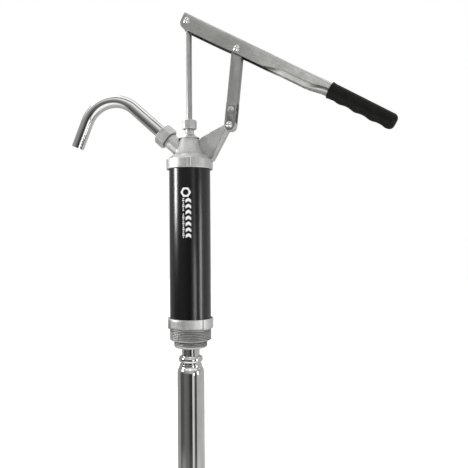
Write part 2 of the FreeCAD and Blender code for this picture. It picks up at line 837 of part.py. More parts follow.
def build_pins():
    face = lever_half_width
    rod_pin = fuse("rod_pin",
                   cross_cylinder("rod_pin_shank", rod_pin_radius, -face, face),
                   rivet_head("rod_pin_head_near", pin_head_radius, face, -1),
                   rivet_head("rod_pin_head_far", pin_head_radius, face, 1))
    keep("rod_pin", on_lever(rod_pin))

    # The fulcrum pin: its ends sit in the lever's cheeks and its shank in the link.
    fulcrum = lever_point(plain(fulcrum_across), plain(fulcrum_height))
    ends = []
    for side_name, outwards in (("near", -1), ("far", 1)):
        inner = face - sheet_wall
        stub_ends = (inner, face) if outwards > 0 else (-face, -inner)
        stub = cross_cylinder("fulcrum_stub_" + side_name, pin_radius, *stub_ends)
        head = rivet_head("fulcrum_head_" + side_name, pin_head_radius, face, outwards)
        ends.append(fuse("fulcrum_end_" + side_name, stub, head))
    heads = doc.addObject("Part::Compound", "fulcrum_pin_ends")
    heads.Links = ends
    heads.Placement = Placement(fulcrum, Rotation())
    keep("fulcrum_pin_ends", on_lever(heads))
    shank = cross_cylinder("fulcrum_pin_shank", pin_radius, -link_cheek, link_cheek,
                           0.0, link_length)
    keep("fulcrum_pin_shank", on_link(shank))

    foot = link_foot_cheek
    bracket_pin = fuse("bracket_pin",
                       cross_cylinder("bracket_pin_shank", pin_radius, -foot, foot),
                       rivet_head("bracket_pin_head_near", pin_head_radius, foot, -1),
                       rivet_head("bracket_pin_head_far", pin_head_radius, foot, 1))
    keep("bracket_pin", on_link(bracket_pin))

    inner = foot - sheet_wall
    spacer = cut("link_spacer",
                 cross_cylinder("spacer_outside", spacer_radius, -inner, inner,
                                screw_across, screw_height),
                 cross_cylinder("spacer_inside", screw_radius + fixed_gap, -inner, inner,
                                screw_across, screw_height))
    keep("link_spacer", on_link(spacer))
    shank_end = foot + 4.6
    head_top = -foot - 2.0
    screw = fuse("screw_blank",
                 cross_cylinder("screw_shank", screw_radius, -foot, shank_end,
                                screw_across, screw_height),
                 cross_cylinder("screw_head", screw_head_radius, head_top, -foot,
                                screw_across, screw_height))
    slot = box("screw_slot", (screw_across - 0.6, head_top - 1, screw_height - screw_head_radius),
               (screw_across + 0.6, head_top + 1.1, screw_height + screw_head_radius))
    keep("link_screw", on_link(cut("link_screw", screw, slot)))
    nut_blank = hexagon("screw_nut_blank", 5.7, foot, foot + 3.6)
    nut_hole = cylinder("screw_nut_hole", screw_radius + fixed_gap, foot, foot + 3.6)
    nut = cut("link_screw_nut", nut_blank, nut_hole)
    # The nut is drawn upright, so its height becomes its distance behind the link.
    nut.Placement = Placement(Vector(plain(screw_across), 0, plain(screw_height)),
                              Rotation(Vector(1, 0, 0), -90))
    keep("link_screw_nut", on_link(nut))


# ---------------------------------------------------------------- rod and piston

def build_plunger():
    eye = rod_eye_half_width
    eye_outside = cross_cylinder("eye_outside", rod_eye_radius, -eye, eye,
                                 0.0, rod_pivot_height)
    eye_inside = cross_cylinder("eye_inside", rod_pin_radius + running_gap, -eye, eye,
                                0.0, rod_pivot_height)
    keep("rod_eye", cut("rod_eye", eye_outside, eye_inside))
    rod = cylinder("rod_bar", rod_radius, rod_bottom, rod_pivot_height - 3)
    saddle = cross_cylinder("rod_saddle", rod_eye_radius, -eye, eye, 0.0, rod_pivot_height)
    keep("piston_rod", cut("piston_rod", rod, saddle))
    # A washer on each side of the eye centres it between the lever's cheeks.
    outer = lever_half_width - sheet_wall - 0.2
    washers = []
    for side_name, near, far in (("near", -outer, -eye), ("far", eye, outer)):
        disc = cross_cylinder("washer_disc_" + side_name, rod_eye_radius, near, far,
                              0.0, rod_pivot_height)
        hole = cross_cylinder("washer_hole_" + side_name, rod_pin_radius + 0.1, near, far,
                              0.0, rod_pivot_height)
        washers.append(cut("rod_washer_" + side_name, disc, hole))
    spacers = doc.addObject("Part::Compound", "rod_washers")
    spacers.Links = washers
    keep("rod_washers", spacers)

    # The piston's stack, from the rod's lower end up.
    hole = rod_radius + fixed_gap
    nut_low = rod_bottom + 2
    plate_low = nut_low + piston_nut_height
    cup_low = plate_low + cup_plate_height
    piston_low = cup_low + cup_height
    piston_top = piston_low + piston_height
    valve_low = piston_top + 0.3
    stop_low = valve_low + valve_thickness + valve_lift + 0.3
    stop_top = stop_low + 2.5
    keep("cup_plate", ring("cup_plate", hole, barrel_bore - 6, plate_low, cup_low))
    cup_rim = barrel_bore - fixed_gap
    keep("piston_cup", turned("piston_cup", [
        (hole, piston_low - 3),
        (barrel_bore - 5.9, piston_low - 3),
        (barrel_bore - 2.4, cup_low + 0.5),
        (cup_rim, cup_low),
        (cup_rim, piston_low),
        (hole, piston_low),
    ]))
    keep("cup_spreader", ring("cup_spreader", hole, barrel_bore - 8, cup_low, piston_low - 3))
    blank = ring("piston_blank", hole, barrel_bore - 0.4, piston_low, piston_top)
    ports = []
    for turn in range(0, 360, 60):
        port = cylinder("piston_port_%d" % turn, port_radius, piston_low, piston_top)
        ports.append(turned_round(set_at(port, port_circle, 0.0, piston_low), turn))
    keep("piston_body", cut("piston_body", blank, *ports))
    keep("piston_valve_disc", ring("piston_valve_disc", rod_radius + 0.1, 19.0,
                                   valve_low, valve_low + valve_thickness))
    keep("valve_stop", ring("valve_stop", hole, 15.0, stop_low, stop_top))
    nuts = []
    for name, low in (("lower", nut_low), ("upper", stop_top)):
        nut_blank = hexagon("piston_nut_blank_" + name, 9.0, low, low + piston_nut_height)
        nut_hole = cylinder("piston_nut_hole_" + name, hole, low, low + piston_nut_height)
        nuts.append(cut("piston_nut_" + name, nut_blank, nut_hole))
    pair = doc.addObject("Part::Compound", "piston_nuts")
    pair.Links = nuts
    keep("piston_nuts", pair)


# ---------------------------------------------------------------- suction tubes

def build_tubes():
    bore = upper_tube_radius - upper_tube_wall
    keep("upper_suction_tube", ring("upper_suction_tube", bore, upper_tube_radius,
                                    upper_tube_bottom, tube_stop))
    keep("upper_tube_ring", ring("upper_tube_ring", upper_tube_radius + 0.02,
                                 middle_tube_bore - fixed_gap,
                                 upper_tube_bottom, upper_tube_bottom + ring_height))
    # A rolled bead at the top of the middle tube holds the O-ring that seals it.
    top = middle_tube_top
    bead_middle = top - bead_height / 2
    bead_low = top - bead_height
    half_bead = bead_radius - middle_tube_radius
    keep("middle_suction_tube", turned("middle_suction_tube", [
        (middle_tube_bore, middle_tube_bottom),
        (middle_tube_radius, middle_tube_bottom),
        (middle_tube_radius, bead_low),
        (bead_radius, bead_low + half_bead, 2.9),
        (bead_radius, top - half_bead),
        (middle_tube_radius, top, 2.9),
        (middle_tube_bore, top),
        (middle_tube_bore, top - 2.8),
        (bead_radius - 1.3, top - 3.6),
        (bead_radius - 1.3, bead_low + 3.6),
        (middle_tube_bore, bead_low + 2.8),
    ]))
    keep("tube_o_ring", ring("tube_o_ring", upper_tube_radius + running_gap,
                             bead_radius - 1.4, bead_middle - 1.2, bead_middle + 1.2))
    keep("middle_tube_ring", ring("middle_tube_ring", middle_tube_radius + 0.02,
                                  outer_tube_bore - fixed_gap,
                                  middle_tube_bottom, middle_tube_bottom + ring_height))
    mouth_bore = middle_tube_radius + fixed_gap
    mouth = middle_tube_radius + 1.0
    keep("outer_suction_tube", turned("outer_suction_tube", [
        (outer_tube_bore, outer_tube_bottom),
        (outer_tube_radius, outer_tube_bottom),
        (outer_tube_radius, outer_shoulder),
        (outer_tube_radius - 1.9, outer_tube_top - 5.0, 6.5),
        (mouth, outer_tube_top, -7.0),
        (mouth_bore, outer_tube_top),
        (mouth_bore, outer_tube_top - 2.0),
        (outer_tube_bore, outer_shoulder - 1.0, 16.0),
    ]))
    # The strainer is pressed into the outer tube and has slots round its foot.
    plug = outer_tube_bore - fixed_gap
    flange_low = outer_tube_bottom - 3
    cup = turned("strainer_turned", [
        (plug - 3, outer_tube_bottom + 8),
        (plug - 3, strainer_bottom + 3),
        (3.0, strainer_bottom + 3),
        (3.0, strainer_bottom),
        (plug - 2, strainer_bottom),
        (plug - 1, strainer_bottom + 1),
        (plug - 1, flange_low),
        (outer_tube_radius, flange_low),
        (outer_tube_radius, outer_tube_bottom),
        (plug, outer_tube_bottom),
        (plug, outer_tube_bottom + 8),
    ])
    slots = []
    for turn in range(0, 180, 45):
        slot = box("strainer_slot_%d" % turn, (-25.0, -1.5, strainer_bottom + 3.5),
                   (25.0, 1.5, flange_low - 1))
        slots.append(turned_round(slot, turn))
    keep("foot_strainer", cut("foot_strainer", cup, *slots))


# ---------------------------------------------------------------- linkage motion

def circle_meeting(rod_height):
    """The fulcrum's place when the rod pivot is at this height."""
    reach = math.hypot(plain(fulcrum_across), plain(fulcrum_height - rod_pivot_height))
    away = Vector(plain(bracket_pivot_across), 0, plain(bracket_pivot_height) - rod_height)
    gap = away.Length
    near = (reach ** 2 - link_length ** 2 + gap ** 2) / (2 * gap)
    side = math.sqrt(reach ** 2 - near ** 2)
    ahead = away / gap
    return Vector(ahead.x * near - ahead.z * side, 0, rod_height + ahead.z * near + ahead.x * side)


def print_motion():
    """Prints how far the lever and link turn over the stroke."""
    angles = []
    for travel in (0.0, plain(stroke)):
        rod_height = plain(rod_pivot_height) - travel
        fulcrum = circle_meeting(rod_height)
        lever_angle = math.atan2(fulcrum.z - rod_height, fulcrum.x)
        link_angle = math.atan2(fulcrum.z - plain(bracket_pivot_height),
                                fulcrum.x - plain(bracket_pivot_across))
        angles.append((lever_angle, link_angle))
    travel = -plain(stroke) / 1000
    for name, index in (("lever", 0), ("link", 1)):
        turn = angles[1][index] - angles[0][index]
        print(name, "turns %.4f deg, %.6f rad, ratio %.6f rad/m"
              % (math.degrees(turn), turn, turn / travel))


# ---------------------------------------------------------------- check and write

def check_and_write():
    doc.recompute()
    failed = [item.Name for item in doc.Objects
              if "Invalid" in item.State or "Error" in item.State]
    if failed:
        raise RuntimeError("these objects failed: " + ", ".join(failed))
    for node, item in parts.items():
        shape = item.Shape
        if shape.isNull() or not shape.isValid() or not shape.Solids:
            raise RuntimeError(node + " has no valid solid")
    os.makedirs("parts", exist_ok=True)
    for node, item in sorted(parts.items()):
        item.Shape.exportStep(os.path.join("parts", node + ".step"))
        print("%-22s solids %d  volume %10.1f" % (node, len(item.Shape.Solids),
                                                 item.Shape.Volume))


build_base()
build_barrel()
build_foot_valve()
build_head()
build_packing_nut()
build_union_nut()
build_spout()
build_lever()
build_link()
build_pins()
build_plunger()
build_tubes()
print_motion()
check_and_write()
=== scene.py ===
"""Looks of the hand-lever fluid transfer pump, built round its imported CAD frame.

Everything is in metres in the CAD frame: the origin is on the pump's axis at the underside
of the base collar, +Z runs up the barrel and +X points to the side of the lever's grip.
"""

import json
import math

import bmesh
import bpy
import numpy as np
from mathutils import Matrix, Vector


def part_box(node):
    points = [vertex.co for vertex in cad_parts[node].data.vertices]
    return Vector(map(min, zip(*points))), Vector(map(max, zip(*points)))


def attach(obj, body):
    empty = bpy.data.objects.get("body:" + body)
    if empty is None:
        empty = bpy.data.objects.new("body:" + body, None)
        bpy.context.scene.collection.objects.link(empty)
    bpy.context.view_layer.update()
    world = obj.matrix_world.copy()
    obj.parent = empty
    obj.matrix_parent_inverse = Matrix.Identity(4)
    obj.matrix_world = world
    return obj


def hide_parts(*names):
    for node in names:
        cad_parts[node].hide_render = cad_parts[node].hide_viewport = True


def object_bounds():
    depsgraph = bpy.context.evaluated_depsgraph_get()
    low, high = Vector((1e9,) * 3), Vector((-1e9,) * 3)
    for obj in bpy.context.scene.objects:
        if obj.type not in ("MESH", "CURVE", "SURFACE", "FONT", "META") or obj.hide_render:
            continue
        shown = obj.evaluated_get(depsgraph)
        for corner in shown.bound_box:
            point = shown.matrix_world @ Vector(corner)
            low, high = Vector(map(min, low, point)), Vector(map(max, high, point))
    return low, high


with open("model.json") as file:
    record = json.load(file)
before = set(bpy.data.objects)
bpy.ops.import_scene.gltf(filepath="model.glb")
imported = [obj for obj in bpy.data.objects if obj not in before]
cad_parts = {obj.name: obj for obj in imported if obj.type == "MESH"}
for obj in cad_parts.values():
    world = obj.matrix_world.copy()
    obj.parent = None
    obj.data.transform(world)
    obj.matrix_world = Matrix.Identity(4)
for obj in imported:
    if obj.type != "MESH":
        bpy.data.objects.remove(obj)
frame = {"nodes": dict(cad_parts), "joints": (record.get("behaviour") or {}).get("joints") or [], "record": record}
cad_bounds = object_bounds()
joints = {joint["name"]: joint for joint in frame["joints"]}
mounts = {mount["name"]: mount for mount in frame["record"]["mounts"]}

MM = 0.001
rod_pivot = Vector(joints["lever_swing"]["pos_m"])
bracket_pivot = Vector(joints["link_swing"]["pos_m"])
outlet_root = Vector(joints["spout_swivel"]["pos_m"])
outlet_axis = Vector(joints["spout_swivel"]["axis"]).normalized()

# The camera is level and looks along its azimuth; its line of sight passes beside the pump's
# axis, so the lens's own bearing from the axis is wider.
CAMERA_AZIMUTH = math.radians(12.5)
CAMERA_DISTANCE = 0.7997
CAMERA_OFFSET = 0.0626
CAMERA_HEIGHT = 0.125
CAMERA_ROLL = math.radians(-0.35)
LENS_BEARING = CAMERA_AZIMUTH + math.atan2(CAMERA_OFFSET, CAMERA_DISTANCE)
SENSOR_WIDTH = 36.0
IMAGE_WIDTH = 468
FOCAL_LENGTH_IN_PIXELS = 560
SHIFT_IN_PIXELS = 5.5

# The lever's slope at rest, from its pivot on the rod down to the grip, and the link's lean.
LEVER_SLOPE = math.radians(29.1)
LINK_TILT = math.radians(6.0)


# ---------------------------------------------------------------- material helpers

class Surface:
    """A Principled material whose looks come from procedural nodes in object space.

    Noise scales count features per metre, and depths are in metres.
    """

    def __init__(self, name, metallic, roughness, color, **sockets):
        self.material = bpy.data.materials.new(name)
        self.material.use_nodes = True
        self.tree = self.material.node_tree
        self.shader = self.tree.nodes["Principled BSDF"]
        self.set("Metallic", metallic)
        self.set("Roughness", roughness)
        self.set("Base Color", (*color, 1.0))
        for socket, value in sockets.items():
            self.set(socket.replace("_", " "), value)
        self.place = self.node("ShaderNodeTexCoord").outputs["Object"]
        self.height = None

    def set(self, socket, value):
        self.shader.inputs[socket].default_value = value

    def node(self, kind, **settings):
        made = self.tree.nodes.new(kind)
        for key, value in settings.items():
            setattr(made, key, value)
        return made

    def join(self, source, target):
        self.tree.links.new(source, target)

    def stretched(self, scale, turn=(0.0, 0.0, 0.0)):
        """Object space turned and scaled, for streaks along one direction."""
        turned = self.node("ShaderNodeMapping")
        turned.inputs["Rotation"].default_value = turn
        self.join(self.place, turned.inputs["Vector"])
        made = self.node("ShaderNodeMapping")
        made.inputs["Scale"].default_value = scale
        self.join(turned.outputs["Vector"], made.inputs["Vector"])
        return made.outputs["Vector"]

    def noise(self, scale, detail=4.0, roughness=0.55, place=None):
        made = self.node("ShaderNodeTexNoise")
        made.inputs["Scale"].default_value = scale
        made.inputs["Detail"].default_value = detail
        made.inputs["Roughness"].default_value = roughness
        self.join(place or self.place, made.inputs["Vector"])
        return made.outputs["Fac"]

    def cells(self, scale):
        made = self.node("ShaderNodeTexVoronoi")
        made.inputs["Scale"].default_value = scale
        self.join(self.place, made.inputs["Vector"])
        return made.outputs["Distance"]

    def ramp(self, source, stops):
        """Colours or greys along a value; each stop is (position, colour or grey)."""
        made = self.node("ShaderNodeValToRGB")
        elements = made.color_ramp.elements
        while len(elements) < len(stops):
            elements.new(0.5)
        for element, (position, value) in zip(elements, stops):
            element.position = position
            shade = (value, value, value) if isinstance(value, (int, float)) else value
            element.color = (*shade, 1.0)
        self.join(source, made.inputs["Fac"])
        return made.outputs["Color"]

    def mixed(self, factor, first, second, mode="MIX"):
        made = self.node("ShaderNodeMix", data_type="RGBA", blend_type=mode)
        for socket, value in ((made.inputs[0], factor), (made.inputs[6], first),
                              (made.inputs[7], second)):
            if isinstance(value, bpy.types.NodeSocket):
                self.join(value, socket)
            elif isinstance(value, (int, float)):
                socket.default_value = value
            else:
                socket.default_value = (*value, 1.0)
        return made.outputs[2]

    def color(self, source):
        self.join(source, self.shader.inputs["Base Color"])

    def rough(self, source):
        self.join(source, self.shader.inputs["Roughness"])

    def bump(self, source, depth, strength):
        """Adds one layer of bump, its depth in metres."""
        made = self.node("ShaderNodeBump")
        made.inputs["Distance"].default_value = depth
        made.inputs["Strength"].default_value = strength
        self.join(source, made.inputs["Height"])
        if self.height is not None:
            self.join(self.height, made.inputs["Normal"])
        self.height = made.outputs["Normal"]
        self.join(self.height, self.shader.inputs["Normal"])

    def edges(self):
        """A value that is high on outer edges and low in crevices."""
        return self.node("ShaderNodeNewGeometry").outputs["Pointiness"]

    def open_air(self, reach, dark, low=0.25, high=0.88):
        """Painted shade: grey that darkens to dark where other surfaces stand within this reach."""
        made = self.node("ShaderNodeAmbientOcclusion", samples=8)
        made.inputs["Distance"].default_value = reach
        return self.ramp(made.outputs["AO"], [(low, dark), (high, 1.0)])


# ---------------------------------------------------------------- materials

def shaded(tone, share):
    """The same tone, darker or lighter by this share."""
    return tuple(min(1.0, share * channel) for channel in tone)


def cast_metal(name, tone, grain=2600.0):
    """Die-cast light metal: a fine sandy grain, dull patches, dark specks, painted shade in the
    corners and crevices, and edges made brighter by wear and by a painted highlight."""
    look = Surface(name, 1.0, 0.5, tone)
    patches = look.ramp(look.noise(55.0, 5.0), [(0.3, shaded(tone, 0.86)),
                                                (0.7, shaded(tone, 1.1))])
    speck = look.ramp(look.noise(grain * 0.3, 3.0, 0.75), [(0.34, 0.62), (0.5, 1.0)])
    spotted = look.mixed(1.0, patches, speck, "MULTIPLY")
    # Outer edges lighter, partly wear and partly a painted highlight; crevices darker as painted shade.
    edge_wear_and_painted_light = look.ramp(look.edges(), [(0.42, 0.5), (0.5, 1.0), (0.58, 1.15)])
    wear_and_painted_light = look.mixed(0.8, spotted, edge_wear_and_painted_light, "MULTIPLY")
    # Painted shade: darker where other surfaces stand within 1.5 mm, and again within 6 mm.
    worn_with_painted_shade = look.mixed(0.8, wear_and_painted_light, look.open_air(0.0015, 0.1, 0.45, 0.94), "MULTIPLY")
    look.color(look.mixed(0.85, worn_with_painted_shade, look.open_air(0.006, 0.16), "MULTIPLY"))
    look.rough(look.ramp(look.noise(180.0, 4.0), [(0.3, 0.42), (0.7, 0.58)]))
    look.bump(look.noise(grain, 3.0, 0.6), 0.00012, 0.6)
    look.bump(look.noise(220.0, 3.0), 0.0004, 0.3)
    return look.material


def chrome(name, wave, ripple, roughness):
    """Bright chrome plate on drawn tube: wave is the depth of its faint drawing waviness
    along Z, and ripple the strength of its finest unevenness."""
    look = Surface(name, 1.0, 0.07, (0.78, 0.78, 0.765))
    streaks = look.noise(1.0, 3.0, 0.6, look.stretched((420.0, 420.0, 9.0)))
    look.rough(look.ramp(streaks, [(0.35, roughness[0]), (0.75, roughness[1])]))
    look.color(look.ramp(look.noise(30.0), [(0.3, (0.74, 0.74, 0.72)), (0.7, (0.82, 0.82, 0.81))]))
    look.bump(look.noise(1.0, 2.0, 0.5, look.stretched((160.0, 160.0, 22.0))), wave, 0.5)
    look.bump(look.noise(900.0, 2.0), 0.00001, ripple)
    return look.material


def zinc_sheet(name, tone, turn=0.0, roughness=(0.34, 0.48)):
    """Zinc-plated pressed steel: rolling marks along X turned round Y, cloudy plating, edges
    lighter from wear and from a painted highlight, and painted shade in the inner corners."""
    look = Surface(name, 1.0, 0.4, tone)
    clouds = look.ramp(look.noise(38.0, 5.0, 0.6), [(0.3, shaded(tone, 0.82)),
                                                    (0.72, shaded(tone, 1.12))])
    along = look.stretched((40.0, 900.0, 900.0), (0.0, turn, 0.0))
    rolled = look.noise(1.0, 3.0, 0.6, along)
    marks = look.ramp(rolled, [(0.3, 0.88), (0.7, 1.05)])
    # Outer edges lighter, partly wear and partly a painted highlight; creases darker as painted shade.
    edge_wear_and_painted_light = look.ramp(look.edges(), [(0.44, 0.7), (0.5, 1.0), (0.57, 1.25)])
    tinted = look.mixed(1.0, clouds, marks, "MULTIPLY")
    wear_and_painted_light = look.mixed(0.7, tinted, edge_wear_and_painted_light, "MULTIPLY")
    # Painted shade: darker where other surfaces stand within 9 mm, in the inner corners.
    look.color(look.mixed(0.9, wear_and_painted_light, look.open_air(0.009, 0.12), "MULTIPLY"))
    look.rough(look.ramp(look.noise(120.0, 4.0), [(0.3, roughness[0]), (0.7, roughness[1])]))
    look.bump(rolled, 0.00003, 0.5)
    look.bump(look.noise(1500.0, 3.0), 0.00003, 0.5)
    return look.material


def turned_steel(name, tone=(0.66, 0.66, 0.65), roughness=(0.16, 0.3)):
    """Ground or turned steel with fine rings round the Z axis."""
    look = Surface(name, 1.0, 0.22, tone)
    rings = look.noise(1.0, 3.0, 0.7, look.stretched((60.0, 60.0, 2600.0)))
    look.rough(look.ramp(rings, [(0.3, roughness[0]), (0.7, roughness[1])]))
    look.color(look.ramp(look.noise(90.0), [(0.3, shaded(tone, 0.88)), (0.7, tone)]))
    look.bump(rings, 0.00001, 0.4)
    return look.material


def enamel(name):
    """Satin black enamel with an orange-peel surface that breaks up the highlights."""
    look = Surface(name, 0.0, 0.3, (0.002, 0.002, 0.0024), Specular_IOR_Level=0.8)
    look.rough(look.ramp(look.noise(1800.0, 3.0, 0.7), [(0.3, 0.17), (0.7, 0.28)]))
    look.color(look.ramp(look.noise(420.0, 4.0), [(0.35, (0.0012, 0.0012, 0.0015)),
                                                  (0.7, (0.0028, 0.0028, 0.0034))]))
    look.bump(look.noise(1500.0, 3.0, 0.65), 0.00008, 0.5)
    look.bump(look.noise(240.0, 2.0), 0.0001, 0.12)
    return look.material


def rubber(name):
    """Matt black moulded rubber with a fine pebble."""
    tone = (0.005, 0.005, 0.0045)
    pebble = 1700.0
    look = Surface(name, 0.0, 0.5, tone, Specular_IOR_Level=0.16)
    look.rough(look.ramp(look.noise(pebble * 0.3, 3.0), [(0.3, 0.42), (0.7, 0.6)]))
    look.color(look.ramp(look.noise(130.0, 4.0), [(0.3, shaded(tone, 0.7)),
                                                  (0.75, shaded(tone, 1.5))]))
    look.bump(look.cells(pebble), 0.00005, 0.4)
    look.bump(look.noise(300.0, 3.0), 0.0001, 0.2)
    return look.material


def brass(name):
    """Turned brass with fine rings round the Z axis."""
    look = Surface(name, 1.0, 0.3, (0.75, 0.56, 0.27))
    rings = look.noise(1.0, 3.0, 0.6, look.stretched((60.0, 60.0, 1800.0)))
    look.rough(look.ramp(rings, [(0.3, 0.2), (0.7, 0.36)]))
    look.bump(rings, 0.00001, 0.4)
    return look.material


def plastic(name, tone):
    """Moulded plastic, slightly cloudy."""
    look = Surface(name, 0.0, 0.45, tone)
    look.rough(look.ramp(look.noise(800.0), [(0.3, 0.38), (0.7, 0.55)]))
    look.color(look.ramp(look.noise(70.0), [(0.3, shaded(tone, 0.9)), (0.7, tone)]))
    look.bump(look.noise(1400.0, 2.0), 0.00003, 0.4)
    return look.material


def printed_white(name):
    """Screen-printed white ink, slightly uneven where the enamel's grain shows through."""
    look = Surface(name, 0.0, 0.5, (0.78, 0.78, 0.77))
    look.color(look.ramp(look.noise(1500.0, 3.0, 0.7), [(0.28, (0.4, 0.4, 0.4)),
                                                        (0.45, (0.66, 0.66, 0.65))]))
    look.bump(look.noise(1500.0, 3.0, 0.65), 0.00008, 0.4)
    return look.material


looks = {
    "cast_alloy": cast_metal("cast_alloy", (0.80, 0.80, 0.785)),
    "cast_nut": cast_metal("cast_nut", (0.74, 0.74, 0.72), 3200.0),
    "zinc_nut": zinc_sheet("zinc_nut", (0.55, 0.55, 0.53)),
    "black_paint": enamel("black_paint"),
    "nitrile": rubber("nitrile"),
    "zinc_steel": zinc_sheet("zinc_steel", (0.56, 0.56, 0.55)),
    "chromed_tube": chrome("chromed_tube", 0.00006, 0.4, (0.05, 0.13)),
    "chromed_spout": chrome("chromed_spout", 0.000008, 0.1, (0.085, 0.095)),
    "brass": brass("brass"),
    "white_nylon": plastic("white_nylon", (0.8, 0.8, 0.77)),
    "black_plastic": plastic("black_plastic", (0.03, 0.03, 0.03)),
    "bearing_steel": turned_steel("bearing_steel", (0.72, 0.72, 0.73), (0.04, 0.09)),
    "ground_steel": turned_steel("ground_steel", (0.62, 0.62, 0.61), (0.3, 0.42)),
    "machined_alloy": turned_steel("machined_alloy", (0.74, 0.74, 0.74), (0.25, 0.4)),
    "zinc_pressing": zinc_sheet("zinc_pressing", (0.62, 0.62, 0.595), -LEVER_SLOPE,
                                (0.24, 0.36)),
    "zinc_link": zinc_sheet("zinc_link", (0.42, 0.42, 0.405), math.pi / 2 - LINK_TILT),
    "grip_rubber": rubber("grip_rubber"),
    "rivet_steel": turned_steel("rivet_steel", (0.85, 0.85, 0.83), (0.22, 0.34)),
    "screw_steel": turned_steel("screw_steel", (0.85, 0.85, 0.83), (0.3, 0.42)),
}
ink = printed_white("printed_white")
slot_of = {entry["node"]: entry["material_slot"] for entry in frame["record"]["subparts"]}


def dress(piece, look):
    piece.data.materials.clear()
    piece.data.materials.append(look)


for node_name, node in frame["nodes"].items():
    dress(node, looks[slot_of[node_name]])
    node.data.polygons.foreach_set("use_smooth", [True] * len(node.data.polygons))
    node.data.set_sharp_from_angle(angle=math.radians(32))


# ---------------------------------------------------------------- mesh helpers

def new_piece(name, mesh, body, slot, *nodes, sharp=35.0):
    """Puts a finished mesh in the scene on its body, in place of these CAD nodes."""
    piece = bpy.data.objects.new(name, mesh)
    bpy.context.scene.collection.objects.link(piece)
    mesh.polygons.foreach_set("use_smooth", [True] * len(mesh.polygons))
    mesh.set_sharp_from_angle(angle=math.radians(sharp))
    dress(piece, looks[slot])
    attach(piece, body)
    if nodes:
        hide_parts(*nodes)
    return piece


def grid(name, rows, closed_rows=False, caps=False):
    """A mesh from rows of points; each row is a closed ring.

    closed_rows joins the last row to the first; caps fills the first and last rings.
    """
    mesh = bpy.data.meshes.new(name)
    count = len(rows[0])
    points = [point for row in rows for point in row]
    faces = []
    last = len(rows) if closed_rows else len(rows) - 1
    for row in range(last):
        low = row * count
        high = (row + 1) % len(rows) * count
        for step in range(count):
            after = (step + 1) % count
            faces.append((low + step, low + after, high + after, high + step))
    if caps:
        faces.append(tuple(range(count - 1, -1, -1)))
        faces.append(tuple(range((len(rows) - 1) * count, len(rows) * count)))
    mesh.from_pydata(points, [], faces)
    mesh.update()
    fix_normals(mesh)
    return mesh


def fix_normals(mesh):
    """Turns every face's normal outwards."""
    work = bmesh.new()
    work.from_mesh(mesh)
    bmesh.ops.recalc_face_normals(work, faces=work.faces)
    work.to_mesh(mesh)
    work.free()
    mesh.update()


def lathe(name, profile, steps, radius_at=None):
    """A closed solid of revolution; profile is a closed loop of (radius, height).

    radius_at, if given, changes a point's radius from its radius, height and angle.
    """
    rows = []
    for radius, height in profile:
        ring = []
        for step in range(steps):
            angle = 2 * math.pi * step / steps
            reach = radius_at(radius, height, angle) if radius_at else radius
            ring.append((reach * math.cos(angle), reach * math.sin(angle), height))
        rows.append(ring)
    return grid(name, rows, closed_rows=True)


def applied(piece):
    """Replaces a piece's mesh with the result of its modifiers."""
    depsgraph = bpy.context.evaluated_depsgraph_get()
    mesh = bpy.data.meshes.new_from_object(piece.evaluated_get(depsgraph))
    piece.modifiers.clear()
    piece.data = mesh
    return mesh


def copy_of(node_name):
    """A scratch object with the CAD node's mesh, its doubled points merged."""
    mesh = frame["nodes"][node_name].data.copy()
    work = bmesh.new()
    work.from_mesh(mesh)
    bmesh.ops.remove_doubles(work, verts=work.verts, dist=1e-6)
    work.to_mesh(mesh)
    work.free()
    scratch = bpy.data.objects.new(node_name + "_scratch", mesh)
    bpy.context.scene.collection.objects.link(scratch)
    return scratch


def finished(scratch):
    """The mesh of a scratch object after its modifiers; the scratch is removed."""
    mesh = applied(scratch)
    bpy.data.objects.remove(scratch)
    return mesh


def round_edges(scratch, width, angle):
    """A bevel on every edge of a scratch object that is sharper than this angle."""
    bevel = scratch.modifiers.new("bevel", "BEVEL")
    bevel.width = width
    bevel.segments = 2
    bevel.limit_method = "ANGLE"
    bevel.angle_limit = math.radians(angle)
    bevel.harden_normals = False


def softened(node_name, voxel, rounds):
    """The CAD node's shape with the rounded edges and fillets of a casting."""
    scratch = copy_of(node_name)
    remesh = scratch.modifiers.new("remesh", "REMESH")
    remesh.mode = "VOXEL"
    remesh.voxel_size = voxel
    smooth = scratch.modifiers.new("smooth", "SMOOTH")
    smooth.factor = 0.5
    smooth.iterations = rounds
    return finished(scratch)


def edged(node_name, width):
    """The CAD node's shape with a small round on every sharp edge."""
    scratch = copy_of(node_name)
    work = bmesh.new()
    work.from_mesh(scratch.data)
    bmesh.ops.dissolve_limit(work, angle_limit=math.radians(0.5), verts=work.verts,
                             edges=work.edges)
    work.to_mesh(scratch.data)
    work.free()
    round_edges(scratch, width, 30.0)
    return finished(scratch)


# ---------------------------------------------------------------- castings and nuts

def build_castings():
    """The head and both nuts, each with its voxel size and rounds of smoothing."""
    for node_name, slot, voxel, rounds in (("head_casting", "cast_alloy", 0.5 * MM, 4),
                                           ("spout_nut", "cast_nut", 0.4 * MM, 3),
                                           ("packing_nut", "cast_nut", 0.3 * MM, 3)):
        new_piece(node_name + "_skin", softened(node_name, voxel, rounds), "pump_body", slot,
                  node_name, sharp=60)


